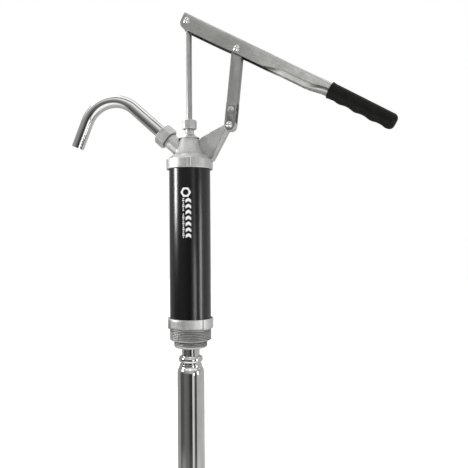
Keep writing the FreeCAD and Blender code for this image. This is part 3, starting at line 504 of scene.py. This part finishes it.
def build_base():
    """The base casting with both pipe threads cut as real helices, 11 turns to the inch."""
    low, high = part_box("base_casting")
    barrel_low, barrel_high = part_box("barrel")
    big_mount = mounts["bung_thread_2in"]
    small_mount = mounts["bung_thread_1_5in"]
    big = big_mount["dims"]["r_mm"] * MM
    small = small_mount["dims"]["r_mm"] * MM
    big_end = -big_mount["dims"]["length_mm"] * MM
    small_top = small_mount["pos_m"][2]
    small_end = small_top - small_mount["dims"]["length_mm"] * MM
    collar = high.x
    pitch = 25.4 * MM / 11
    depth = 1.15 * MM
    # The collar is set back over a wide arc at the front and the back.
    recess = 1.2 * MM
    recess_half = math.radians(50)
    recess_edge = math.radians(1.0)
    socket = barrel_high.x + 0.05 * MM
    socket_floor = barrel_low.z - 1.5 * MM
    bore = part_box("upper_suction_tube")[1].x + 0.05 * MM

    def groove(radius, height, angle, start, end):
        """Depth of the helical groove here, running out towards both ends."""
        turn = (height / pitch + angle / (2 * math.pi)) % 1.0
        cut = depth * (0.5 - 0.5 * math.cos(2 * math.pi * turn)) ** 0.8
        fade_high = min(1.0, max(0.0, (start - height) / (1.6 * MM)))
        fade_low = min(1.0, max(0.0, (height - end) / (0.5 * MM)))
        return radius - cut * fade_high * min(1.0, 0.4 + fade_low)

    def radius_at(radius, height, angle):
        if height > 0.0005 * MM and radius > socket + 0.5 * MM:
            front = abs(math.remainder(angle + math.pi / 2, math.pi))
            inside = min(1.0, max(0.0, (recess_half - front) / recess_edge))
            return radius - recess * inside
        if radius > small + 1.0 * MM and height < -0.3 * MM:
            return groove(radius, height, angle, -0.6 * MM, big_end)
        if radius > bore + 1.0 * MM and small_end <= height < small_top - 0.1 * MM:
            return groove(radius, height, angle, small_top - 0.4 * MM, small_end)
        return radius

    profile = [(bore, low.z), (small - 1.9 * MM, low.z), (small - 1.6 * MM, low.z + 0.2 * MM)]
    profile.append((small - 0.3 * MM, small_end - 0.4 * MM))
    row_step = 0.16 * MM
    height = small_end
    while height < small_top - 0.2 * MM:
        profile.append((small, height))
        height += row_step
    profile += [(small, small_top), (big - big_end + small_top, small_top)]
    profile.append((big - 0.3 * MM, big_end - 0.3 * MM))
    height = big_end
    while height < -0.2 * MM:
        profile.append((big, height))
        height += row_step
    rim = 0.5 * MM
    profile += [(big, 0.0), (collar - rim, 0.0), (collar - 0.15 * MM, 0.15 * MM), (collar, rim)]
    profile += [(collar, high.z * share) for share in (0.25, 0.5, 0.75)]
    profile += [(collar, high.z - rim), (collar - 0.15 * MM, high.z - 0.15 * MM),
                (collar - rim, high.z), (socket + 0.3 * MM, high.z),
                (socket, high.z - 0.3 * MM), (socket, socket_floor), (bore, socket_floor)]
    mesh = lathe("base_casting_threaded", profile, 360, radius_at)
    new_piece("base_casting_threaded", mesh, "pump_body", "cast_alloy", "base_casting",
              sharp=50)


# ---------------------------------------------------------------- tubes

def build_spout():
    """The bent spout and its bore, with the edges of its outlet end chamfered and its hidden end left square."""
    outlet = mounts["spout_outlet"]
    end = Vector(outlet["pos_m"])
    leg_axis = Vector(outlet["axis"]).normalized()
    outside = outlet["dims"]["r_mm"] * MM
    inside = outside - 1.5 * MM
    lip = 0.4 * MM
    leg = outlet["dims"]["length_mm"] * MM
    # The tube starts inside the union nut, this far along the outlet.
    hidden_end = 50.5 * MM
    start = outlet_root + outlet_axis * hidden_end
    bend = 47.0 * MM
    turn = outlet_axis.angle(leg_axis)
    inward = Vector((-outlet_axis.z, 0.0, outlet_axis.x))
    bend_end = end - leg_axis * (leg + 0.2 * MM)
    # The bend starts where an arc of this radius leaves the outlet's line.
    centre = bend_end + Vector((-leg_axis.z, 0.0, leg_axis.x)) * bend
    bend_start = centre - inward * bend
    stations = [(start, outlet_axis), (bend_start, outlet_axis)]
    steps = 72
    for step in range(1, steps):
        angle = turn * step / steps
        heading = outlet_axis * math.cos(angle) + inward * math.sin(angle)
        side = Vector((-heading.z, 0.0, heading.x))
        stations.append((centre - side * bend, heading))
    stations += [(bend_end, leg_axis), (end - leg_axis * lip, leg_axis), (end, leg_axis)]
    count = 72

    def ring(place, heading, radius):
        side = Vector((-heading.z, 0.0, heading.x))
        across = Vector((0.0, 1.0, 0.0))
        return [place + side * (radius * math.cos(2 * math.pi * k / count))
                + across * (radius * math.sin(2 * math.pi * k / count)) for k in range(count)]

    rows = [ring(place, heading, outside) for place, heading in stations[:-1]]
    rows.append(ring(*stations[-1], outside - lip))
    rows.append(ring(*stations[-1], inside + 0.3 * MM))
    rows += [ring(place, heading, inside) for place, heading in reversed(stations[:-1])]
    mesh = grid("spout_bent_tube", rows, closed_rows=True)
    new_piece("spout_bent_tube", mesh, "spout", "chromed_spout", "spout_tube", sharp=40)


def rounded(points):
    """A profile with marked corners rounded; points are (r, z) or (r, z, reach), where reach
    is how far from the corner its round begins."""
    result = []
    count = len(points)
    steps = 6
    for index, point in enumerate(points):
        here = Vector((point[0], point[1]))
        if len(point) < 3:
            result.append((here.x, here.y))
            continue
        before = Vector(points[index - 1][:2]) - here
        after = Vector(points[(index + 1) % count][:2]) - here
        reach = min(point[2], before.length * 0.48, after.length * 0.48)
        first = here + before.normalized() * reach
        last = here + after.normalized() * reach
        for step in range(steps + 1):
            t = step / steps
            place = first * (1 - t) ** 2 + here * 2 * t * (1 - t) + last * t * t
            result.append((place.x, place.y))
    return result


def build_suction_tubes():
    """The middle tube with its rolled bead and the outer tube with its drawn-in mouth."""
    low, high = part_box("middle_suction_tube")
    bead = high.x
    tube = bead - 2.8 * MM
    bore = tube - 1.2 * MM
    top = high.z
    bead_middle = top - 4.6 * MM
    bead_half_height = 4.0 * MM
    profile = [(bore, low.z), (tube, low.z), (tube, top - 11.0 * MM)]
    steps = 24
    for step in range(steps + 1):
        # A full round bead, a little squarer than a half circle.
        angle = -math.pi / 2 + math.pi * step / steps
        swell = math.cos(angle) ** 0.8 if abs(angle) < math.pi / 2 - 1e-6 else 0.0
        profile.append((tube + (bead - tube) * swell,
                        bead_middle + bead_half_height * math.sin(angle)))
    profile += [(tube - 0.3 * MM, top), (bore, top - 0.2 * MM)]
    mesh = lathe("middle_tube_beaded", profile, 128)
    new_piece("middle_tube_beaded", mesh, "middle_tube", "chromed_tube",
              "middle_suction_tube", sharp=50)

    low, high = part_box("outer_suction_tube")
    outer = high.x
    inner = outer - 1.0 * MM
    top = high.z
    mouth = tube + 1.0 * MM
    shoulder = top - 10.9 * MM
    profile = rounded([
        (inner, low.z), (outer, low.z, 0.3 * MM),
        (outer, shoulder, 2.2 * MM), (outer - 1.5 * MM, shoulder + 4.6 * MM, 1.8 * MM),
        (mouth + 0.5 * MM, top - 3.2 * MM, 1.6 * MM), (mouth + 0.1 * MM, top, 0.4 * MM),
        (tube + 0.1 * MM, top), (tube + 0.1 * MM, top - 2.5 * MM),
        (inner - 1.2 * MM, shoulder + 4.0 * MM), (inner, shoulder - 1.0 * MM),
    ])
    mesh = lathe("outer_tube_drawn", profile, 144)
    new_piece("outer_tube_drawn", mesh, "outer_tube", "chromed_tube",
              "outer_suction_tube", sharp=50)


# ---------------------------------------------------------------- lever

# In the lever's own frame, X runs along it from the rod pivot and Z stands square to it.
lever_place = Matrix.Translation(rod_pivot) @ Matrix.Rotation(LEVER_SLOPE, 4, "Y")
SHEET = 1.8 * MM
LEVER_TAIL = -8.5 * MM
LEVER_END = 317 * MM
LEVER_CORNER = 10 * MM
LEVER_HALF_WIDTH = 9.7 * MM
LEVER_CREST = 9.5 * MM
LEVER_SKIRT = -12.2 * MM
LEVER_SKIRT_RISE = 1.4 * MM
HANDLE_START = 190 * MM
HANDLE_RISE = 2.1 * MM
HANDLE_DROOP = math.radians(1.0)
HANDLE_RADIUS = 9.45 * MM
# Where along the lever its skirt rises, its lower edges curl in and its neck closes.
TAPER_SPAN = (30 * MM, 115 * MM)
CURL_SPAN = (118 * MM, 165 * MM)
NECK_SPAN = (HANDLE_START, 226 * MM)


def ease(value, low, high):
    """A smooth step from 0 at low to 1 at high."""
    share = min(1.0, max(0.0, (value - low) / (high - low)))
    return share * share * (3 - 2 * share)


def handle_axis(along):
    """The height of the handle's middle above the pivot's line."""
    return HANDLE_RISE - (along - HANDLE_START) * math.tan(HANDLE_DROOP)


def lever_section(along):
    """Half of the pressed sheet's outside at this place: points from the crest's middle,
    round the shoulder, down the cheek and round its curled lower edge, with normals."""
    taper = ease(along, *TAPER_SPAN)
    curl = ease(along, *CURL_SPAN)
    neck = ease(along, *NECK_SPAN)
    axis = handle_axis(along)
    half = LEVER_HALF_WIDTH * (1 - neck) + HANDLE_RADIUS * neck
    crest = LEVER_CREST * (1 - neck) + (axis + HANDLE_RADIUS) * neck
    open_skirt = LEVER_SKIRT + LEVER_SKIRT_RISE * taper
    skirt = open_skirt * (1 - neck) + (axis - HANDLE_RADIUS) * neck
    from_tail = along - LEVER_TAIL
    if from_tail < LEVER_CORNER:
        left = LEVER_CORNER - from_tail
        skirt += LEVER_CORNER - math.sqrt(LEVER_CORNER ** 2 - left ** 2)
    top_round = (2.6 + 1.6 * curl + 5.2 * neck) * MM
    foot_round = (0.5 + 2.5 * curl + 6.4 * neck) * MM
    foot_turn = math.radians(4 + 60 * curl + 26 * neck)
    # The lower part of the cheek leans in behind a crease before its edge curls under.
    crease_round = 1.2 * MM
    lean = math.radians(33) * curl * (1 - neck)
    facet = 6.0 * MM * curl * (1 - neck)
    flat = half - top_round
    points = [(0.0, crest, 0.0, 1.0), (flat * 0.5, crest, 0.0, 1.0)]
    for step in range(9):
        angle = math.pi / 2 * step / 8
        points.append((flat + top_round * math.sin(angle),
                       crest - top_round + top_round * math.cos(angle),
                       math.sin(angle), math.cos(angle)))
    side_top = crest - top_round
    crease_low = skirt + foot_round * (math.sin(foot_turn) - math.sin(lean))
    crease_low += facet * math.cos(lean)
    side_low = crease_low + crease_round * math.sin(lean)
    for share in (0.25, 0.5, 0.75):
        points.append((half, side_top + (side_low - side_top) * share, 1.0, 0.0))
    for step in range(5):
        angle = lean * step / 4
        points.append((half - crease_round * (1 - math.cos(angle)),
                       side_low - crease_round * math.sin(angle) - 0.01 * MM * step,
                       math.cos(angle), -math.sin(angle)))
    curl_y = half - crease_round * (1 - math.cos(lean)) - facet * math.sin(lean)
    curl_z = crease_low - facet * math.cos(lean) - 0.05 * MM
    for step in range(9):
        angle = lean + (foot_turn - lean) * step / 8
        points.append((curl_y - foot_round * (math.cos(lean) - math.cos(angle)),
                       curl_z - foot_round * (math.sin(angle) - math.sin(lean)),
                       math.cos(angle), -math.sin(angle)))
    # The two lower edges close to a narrow slit only along the handle.
    lip = points[-1]
    reach_in = max(0.0, lip[0] - 2.0 * MM) * neck
    points.append((lip[0] - reach_in - 0.05 * MM, lip[1] - 0.01 * MM, lip[2], lip[3]))
    return points


def build_lever():
    """The lever: a channel that closes into a round neck and runs inside the grip."""
    places = [LEVER_TAIL + LEVER_CORNER * (1 - math.cos(math.pi / 2 * step / 12))
              for step in range(13)]
    places += [20 * MM, 45 * MM, 70 * MM, 95 * MM, TAPER_SPAN[1]]
    places += list(np.arange(0.12, 0.224, 0.002))
    places += [240 * MM, 270 * MM, LEVER_END]
    rows = []
    for along in places:
        half = lever_section(along)
        outside = [(y, z) for y, z, ny, nz in half]
        inside = [(y - ny * SHEET, z - nz * SHEET) for y, z, ny, nz in half]
        ring = [(-y, z) for y, z in reversed(outside)] + outside[1:]
        ring += list(reversed(inside)) + [(-y, z) for y, z in inside[1:]]
        rows.append([lever_place @ Vector((along, y, z)) for y, z in ring])
    mesh = grid("lever_pressing", rows, caps=True)
    scratch = bpy.data.objects.new("lever_scratch", mesh)
    bpy.context.scene.collection.objects.link(scratch)
    round_edges(scratch, 0.3 * MM, 50.0)
    new_piece("lever_pressing", finished(scratch), "lever", "zinc_pressing",
              "lever_channel", sharp=35)


def build_grip():
    """The moulded grip: a flared mouth, four finger waves underneath and a round end."""
    start = 225.7 * MM
    end = 324.8 * MM
    outside = 10.95 * MM
    inside = HANDLE_RADIUS + 0.05 * MM
    lip = 0.6 * MM
    rim = 1.4 * MM
    rows = []
    count = 72
    pitch = 24.2 * MM
    first_crest = start + 19.0 * MM
    wave_height = 1.5 * MM

    def wave(along, angle):
        """How far the underside swells here; angle 0 points straight down."""
        under = max(0.0, math.cos(angle)) ** 1.5
        phase = ((along - first_crest) / pitch) % 1.0
        rise = 0.5 + 0.5 * math.cos(2 * math.pi * phase)
        fade = ease(along, start + 6 * MM, start + 14 * MM)
        fade *= 1 - ease(along, end - 14 * MM, end)
        return under * fade * (rise ** 1.4 - 0.6) * wave_height

    def ring(along, radius, waved=True):
        points = []
        for step in range(count):
            angle = 2 * math.pi * step / count
            reach = radius + (wave(along, angle) if waved else 0.0)
            points.append(lever_place @ Vector((along, reach * math.sin(angle),
                                                handle_axis(along) - reach * math.cos(angle))))
        return points

    # The mouth: its inner edge, its face, and a lip that fades into the grip's side.
    for ahead, radius in ((0.3 * MM, inside + 0.25 * MM), (0.0, inside + 0.9 * MM),
                          (0.0, outside + 0.2 * MM), (0.3 * MM, outside + lip),
                          (rim, outside + lip)):
        rows.append(ring(start + ahead, radius, False))
    for step in range(1, 6):
        share = step / 5
        swell = lip * (1 - ease(share, 0.0, 1.0))
        rows.append(ring(start + rim + 3.2 * MM * share, outside + swell, False))
    along = start + 6 * MM
    while along < end - 7 * MM:
        rows.append(ring(along, outside))
        along += 1.2 * MM
    nose = 7 * MM
    for step in range(13):
        angle = math.pi / 2 * step / 12
        rows.append(ring(end - nose + nose * math.sin(angle),
                         outside - nose + nose * math.cos(angle), False))
    # The closed end is 4.5 mm thick round a small vent hole.
    end_wall = 4.5 * MM
    vent = 1.0 * MM
    rows.append(ring(end, vent, False))
    rows.append(ring(end - end_wall, vent, False))
    rows.append(ring(end - end_wall, inside, False))
    mesh = grid("grip_moulding", rows, closed_rows=True)
    new_piece("grip_moulding", mesh, "lever", "grip_rubber", "lever_grip", sharp=60)


# ---------------------------------------------------------------- rivets, link

def staked_head(place, face, outwards):
    """Rows of points of a rivet head closed by a cross-shaped punch: four raised lobes.

    face is the height of the sheet under the head, and outwards is 1 or -1 along Y.
    """
    radius = 4.9 * MM
    rings = 14
    count = 48
    edge = 0.9 * MM
    lobe_height = 1.15 * MM
    lobe_spread = 0.26
    dome = 0.25 * MM
    sunk = 0.2 * MM
    points = []
    for ring in range(rings + 1):
        share = ring / rings
        for step in range(count):
            angle = 2 * math.pi * step / count
            lobe = 0.5 + 0.5 * math.cos(4 * angle - math.pi)
            crown = math.exp(-((share - 0.5) / lobe_spread) ** 2) * lobe
            height = edge + lobe_height * crown + dome * (1 - share ** 2)
            reach = radius * share
            if ring == rings:
                height = edge * 0.35
            points.append((reach * math.cos(angle), face + height, reach * math.sin(angle)))
    # The rim goes a little way into the sheet, so that no gap shows under the head.
    for step in range(count):
        angle = 2 * math.pi * step / count
        points.append((radius * math.cos(angle), face - sunk, radius * math.sin(angle)))
    rows = [points[start:start + count] for start in range(0, len(points), count)]
    flip = Matrix.Diagonal((1, outwards, 1, 1))
    return [[place @ (flip @ Vector(point)) for point in row] for row in rows]


def build_rivet(name, node_name, body, place, face, shank, split=0.0):
    """A riveted pin: its shank, or two stubs from split outwards, and two staked heads.

    shank is the pin's radius, and face the height of the sheet's outside on both sides.
    """
    work = bmesh.new()
    for outwards in (-1, 1):
        rows = staked_head(place, face, outwards)
        mesh = grid(name + "_head", rows[1:], caps=True)
        work.from_mesh(mesh)
        bpy.data.meshes.remove(mesh)
    spans = [(-face, face)] if split == 0.0 else [(-face, -split), (split, face)]
    for near, far in spans:
        rows = []
        for y in (near, far):
            rows.append([place @ Vector((shank * math.cos(2 * math.pi * k / 40), y,
                                         shank * math.sin(2 * math.pi * k / 40)))
                         for k in range(40)])
        mesh = grid(name + "_shank", rows, caps=True)
        work.from_mesh(mesh)
        bpy.data.meshes.remove(mesh)
    mesh = bpy.data.meshes.new(name)
    work.to_mesh(mesh)
    work.free()
    new_piece(name, mesh, body, "rivet_steel", node_name, sharp=50)


def build_linkage():
    """The link with its screw and nut, and the three riveted pins."""
    new_piece("link_pressing", edged("link_channel", 0.3 * MM), "link", "zinc_link",
              "link_channel", sharp=40)
    new_piece("link_screw_head", edged("link_screw", 0.25 * MM), "link", "screw_steel",
              "link_screw", sharp=40)
    new_piece("link_nut_edged", edged("link_screw_nut", 0.25 * MM), "link", "zinc_steel",
              "link_screw_nut", sharp=40)
    low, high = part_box("fulcrum_pin_ends")
    fulcrum = Vector(((low.x + high.x) / 2, 0.0, (low.z + high.z) / 2))
    at_fulcrum = Matrix.Translation(fulcrum) @ Matrix.Rotation(LEVER_SLOPE, 4, "Y")
    at_bracket = Matrix.Translation(bracket_pivot) @ Matrix.Rotation(LINK_TILT, 4, "Y")
    link_half_width = 9.0 * MM
    rod_shank = 3.5 * MM
    link_shank = 4.0 * MM
    build_rivet("rod_pin_staked", "rod_pin", "lever", lever_place, LEVER_HALF_WIDTH, rod_shank)
    build_rivet("fulcrum_pin_staked", "fulcrum_pin_ends", "lever", at_fulcrum,
                LEVER_HALF_WIDTH, link_shank, LEVER_HALF_WIDTH - SHEET)
    build_rivet("bracket_pin_staked", "bracket_pin", "link", at_bracket, link_half_width,
                link_shank)


# ---------------------------------------------------------------- printed mark

def build_print():
    """A plain printed mark on the barrel: a hex nut over a column of flow chevrons, with a
    row of tally bars beside them."""
    ink_depth = 0.03 * MM
    clearance = 0.03 * MM
    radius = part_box("barrel")[1].x + clearance
    # The mark faces the camera's azimuth. Its outlines are drawn flat, X across and Z up.
    middle = CAMERA_AZIMUTH
    half_column = 3.8 * MM
    top = 182.8 * MM
    arm_drop = 2.6 * MM
    stroke = 4.3 * MM
    shapes = []
    for index in range(7):
        z = top - index * 8.1 * MM
        shapes.append([(-half_column, z - arm_drop), (0.0, z), (half_column, z - arm_drop),
                       (half_column, z - arm_drop - stroke), (0.0, z - stroke),
                       (-half_column, z - arm_drop - stroke)])
    bars_at = -7.0 * MM
    bar_height = 1.5 * MM
    bar_pitch = 2.668 * MM
    left_out = 7
    for index in range(21):
        if index == left_out:
            continue
        z = top - 0.2 * MM - index * bar_pitch
        half = (1.1 + 0.5 * math.sin(index * 2.1)) * MM
        shapes.append([(bars_at - half, z), (bars_at + half, z),
                       (bars_at + half, z - bar_height), (bars_at - half, z - bar_height)])
    # The nut is six pieces, each between one flat side and its share of the round hole.
    centre = Vector((-3.6 * MM, 190.6 * MM))
    corner_radius = 7.4 * MM
    hole_radius = 4.0 * MM

    def round_nut(reach, turn):
        """The point this far from the nut's centre, turned by so many sixths."""
        angle = math.radians(60 * turn)
        return (centre.x + reach * math.cos(angle), centre.y + reach * math.sin(angle))

    for side in range(6):
        outline = [round_nut(corner_radius, side), round_nut(corner_radius, side + 1)]
        outline += [round_nut(hole_radius, side + 1 - part / 4) for part in range(5)]
        shapes.append(outline)
    work = bmesh.new()
    for outline in shapes:
        work.faces.new([work.verts.new((x, 0.0, z)) for x, z in outline])
    bmesh.ops.remove_doubles(work, verts=work.verts, dist=0.001 * MM)
    # Cut finely across so that the print can follow the barrel's round.
    for x in np.arange(-11.5 * MM, 4.5 * MM, 0.5 * MM):
        geometry = work.verts[:] + work.edges[:] + work.faces[:]
        bmesh.ops.bisect_plane(work, geom=geometry, plane_co=(x, 0, 0), plane_no=(1, 0, 0))
    raised = bmesh.ops.extrude_face_region(work, geom=work.faces[:])
    for item in raised["geom"]:
        if isinstance(item, bmesh.types.BMVert):
            item.co.y = ink_depth
    for vert in work.verts:
        angle = middle + vert.co.x / radius
        reach = radius + vert.co.y
        vert.co = Vector((reach * math.sin(angle), -reach * math.cos(angle), vert.co.z))
    bmesh.ops.recalc_face_normals(work, faces=work.faces)
    mesh = bpy.data.meshes.new("barrel_print")
    work.to_mesh(mesh)
    work.free()
    piece = new_piece("barrel_print", mesh, "pump_body", "black_paint")
    dress(piece, ink)


# ---------------------------------------------------------------- studio

def build_floor():
    """A plain pale floor under the pump's foot, and nothing else."""
    height = cad_bounds[0][2] - 0.5 * MM
    reach = 6.0
    corners = [(-reach, -reach), (reach, -reach), (reach, reach), (-reach, reach)]
    mesh = bpy.data.meshes.new("floor")
    mesh.from_pydata([(x, y, height) for x, y in corners], [], [(0, 1, 2, 3)])
    floor = bpy.data.objects.new("floor", mesh)
    bpy.context.scene.collection.objects.link(floor)
    look = bpy.data.materials.new("floor")
    look.use_nodes = True
    shader = look.node_tree.nodes["Principled BSDF"]
    shader.inputs["Base Color"].default_value = (0.97, 0.97, 0.97, 1.0)
    shader.inputs["Roughness"].default_value = 0.8
    mesh.materials.append(look)
    floor.visible_glossy = False


# Greys of the surroundings as (degrees, grey). Bearings count from the lens to the right.
UPRIGHT_BANDS = [
    (-180, 0.25), (-150, 0.36), (-103, 0.34), (-97, 0.09), (-60, 0.10), (-56, 0.17),
    (-20, 0.12), (-12, 0.05), (10, 0.03), (13, 0.8), (25, 0.7), (32, 0.08), (46, 0.05),
    (52, 0.48), (150, 0.56), (180, 0.4)]
# The same bearings higher up, paler where the flat sides of the lever and link face them.
FRONTAL_BANDS = [
    (-180, 0.25), (-150, 0.34), (-100, 0.34), (-75, 0.30), (-45, 0.32), (-25, 0.40),
    (-8, 0.52), (15, 0.55), (35, 0.2), (60, 0.35), (150, 0.5), (180, 0.3)]
# Over and under the pump: 0 is level towards the lens, 90 overhead, 180 level behind.
CEILING_BANDS = [
    (-180, 0.4), (-110, 0.5), (-82, 0.6), (-66, 1.2), (-40, 1.2), (-31, 0.3), (0, 0.25),
    (25, 0.35), (42, 0.95), (60, 0.95), (66, 0.12), (77, 0.15), (84, 1.25), (120, 1.1),
    (130, 0.42), (180, 0.4)]


def build_world():
    """Soft studio surroundings: white to look at, with darker and brighter upright bands
    that the polished tubes reflect, and paler and darker bands overhead and below."""
    world = bpy.data.worlds.new("studio")
    bpy.context.scene.world = world
    world.use_nodes = True
    tree = world.node_tree
    tree.nodes.clear()
    place = tree.nodes.new("ShaderNodeTexCoord")
    # The direction is turned so that its -Y points from the pump to the lens.
    turned = tree.nodes.new("ShaderNodeMapping")
    turned.inputs["Rotation"].default_value = (0.0, 0.0, -LENS_BEARING)
    tree.links.new(place.outputs["Generated"], turned.inputs["Vector"])
    parts = tree.nodes.new("ShaderNodeSeparateXYZ")
    tree.links.new(turned.outputs["Vector"], parts.inputs[0])

    def math_node(operation, first, second):
        made = tree.nodes.new("ShaderNodeMath")
        made.operation = operation
        for socket, value in zip(made.inputs, (first, second)):
            if isinstance(value, bpy.types.NodeSocket):
                tree.links.new(value, socket)
            else:
                socket.default_value = value
        return made.outputs[0]

    def share_of(value, low, high):
        """0 at low and below, 1 at high and above."""
        made = tree.nodes.new("ShaderNodeMapRange")
        made.inputs["From Min"].default_value = low
        made.inputs["From Max"].default_value = high
        tree.links.new(value, made.inputs["Value"])
        return made.outputs["Result"]

    def banded(angle, bands):
        """Greys along an angle from half a turn back to half a turn on."""
        ramp = tree.nodes.new("ShaderNodeValToRGB")
        elements = ramp.color_ramp.elements
        while len(elements) < len(bands):
            elements.new(0.5)
        for element, (degrees, grey) in zip(elements, bands):
            element.position = (degrees + 180) / 360
            element.color = (grey, grey, grey, 1.0)
        tree.links.new(share_of(angle, -math.pi, math.pi), ramp.inputs["Fac"])
        return ramp.outputs["Color"]

    def mixed(share, first, second):
        made = tree.nodes.new("ShaderNodeMix")
        made.data_type = "RGBA"
        tree.links.new(share, made.inputs[0])
        tree.links.new(first, made.inputs[6])
        tree.links.new(second, made.inputs[7])
        return made.outputs[2]

    away = math_node("MULTIPLY", parts.outputs["Y"], -1.0)
    bearing = math_node("ARCTAN2", parts.outputs["X"], away)
    over = math_node("ARCTAN2", parts.outputs["Z"], away)
    steep = math_node("ABSOLUTE", parts.outputs["Z"], 0.0)
    walls = mixed(share_of(parts.outputs["Z"], 0.10, 0.22), banded(bearing, UPRIGHT_BANDS),
                  banded(bearing, FRONTAL_BANDS))
    studio = mixed(share_of(steep, 0.35, 0.6), walls, banded(over, CEILING_BANDS))
    lit = tree.nodes.new("ShaderNodeBackground")
    lit.inputs["Strength"].default_value = 1.0
    tree.links.new(studio, lit.inputs["Color"])
    plain = tree.nodes.new("ShaderNodeBackground")
    plain.inputs["Color"].default_value = (1.0, 1.0, 1.0, 1.0)
    sight = tree.nodes.new("ShaderNodeLightPath")
    pick = tree.nodes.new("ShaderNodeMixShader")
    tree.links.new(sight.outputs["Is Camera Ray"], pick.inputs["Fac"])
    tree.links.new(lit.outputs[0], pick.inputs[1])
    tree.links.new(plain.outputs[0], pick.inputs[2])
    out = tree.nodes.new("ShaderNodeOutputWorld")
    tree.links.new(pick.outputs[0], out.inputs["Surface"])


def area_light(name, bearing, distance, height, size, energy, target_height):
    """A soft box aimed at the pump's axis at the target's height; its bearing counts from
    the lens, in degrees to the right."""
    angle = LENS_BEARING + math.radians(bearing)
    place = Vector((distance * math.sin(angle), -distance * math.cos(angle), height))
    light = bpy.data.lights.new(name, "AREA")
    light.shape = "RECTANGLE"
    light.size, light.size_y = size
    light.energy = energy
    lamp = bpy.data.objects.new(name, light)
    bpy.context.scene.collection.objects.link(lamp)
    lamp.location = place
    aim = Vector((0.0, 0.0, target_height)) - place
    lamp.rotation_euler = aim.to_track_quat("-Z", "Y").to_euler()


def build_lights():
    """Soft boxes that draw the highlights, and a broad light from above."""
    # Name, bearing, distance, height, size across and up, watts, height aimed at.
    for row in (("left_strip", -84, 0.9, 0.31, (0.22, 0.24), 4.0, 0.22),
                ("right_strip", 60, 0.9, 0.04, (0.12, 0.4), 1.1, 0.15),
                ("front_low", 26, 1.0, -0.06, (0.12, 0.3), 0.6, 0.05),
                ("upper_front", -8, 0.85, 0.62, (0.34, 0.16), 0.16, 0.3),
                ("top_left", -140, 0.7, 0.95, (0.5, 0.3), 3.2, 0.25)):
        area_light(*row)
    # The overhead light is for the floor and the matt surfaces, with soft shadows.
    light = bpy.data.lights.new("overhead", "SUN")
    light.energy = 2.6
    light.angle = math.radians(40)
    lamp = bpy.data.objects.new("overhead", light)
    bpy.context.scene.collection.objects.link(lamp)
    lamp.rotation_euler = (math.radians(20), 0.0, math.radians(-30))
    lamp.visible_glossy = False


def build_camera():
    """A level camera a little to the grip's side of the pump, with the pump left of centre."""
    right = Vector((math.cos(CAMERA_AZIMUTH), math.sin(CAMERA_AZIMUTH), 0.0))
    forward = Vector((-math.sin(CAMERA_AZIMUTH), math.cos(CAMERA_AZIMUTH), 0.0))
    camera = bpy.data.cameras.new("camera")
    camera.sensor_width = SENSOR_WIDTH
    camera.lens = SENSOR_WIDTH * FOCAL_LENGTH_IN_PIXELS / IMAGE_WIDTH
    camera.shift_y = SHIFT_IN_PIXELS / IMAGE_WIDTH
    camera.clip_start = 0.01
    item = bpy.data.objects.new("camera", camera)
    bpy.context.scene.collection.objects.link(item)
    place = right * CAMERA_OFFSET - forward * CAMERA_DISTANCE
    item.location = place + Vector((0.0, 0.0, CAMERA_HEIGHT))
    level = Matrix.Rotation(CAMERA_AZIMUTH, 3, "Z") @ Matrix.Rotation(math.pi / 2, 3, "X")
    roll = Matrix.Rotation(CAMERA_ROLL, 3, "Z")
    item.rotation_euler = (level @ roll).to_euler()
    bpy.context.scene.camera = item
    bpy.context.scene.view_settings.view_transform = "Standard"


build_castings()
build_base()
build_spout()
build_suction_tubes()
build_lever()
build_grip()
build_linkage()
build_print()
build_floor()
build_world()
build_lights()
build_camera()
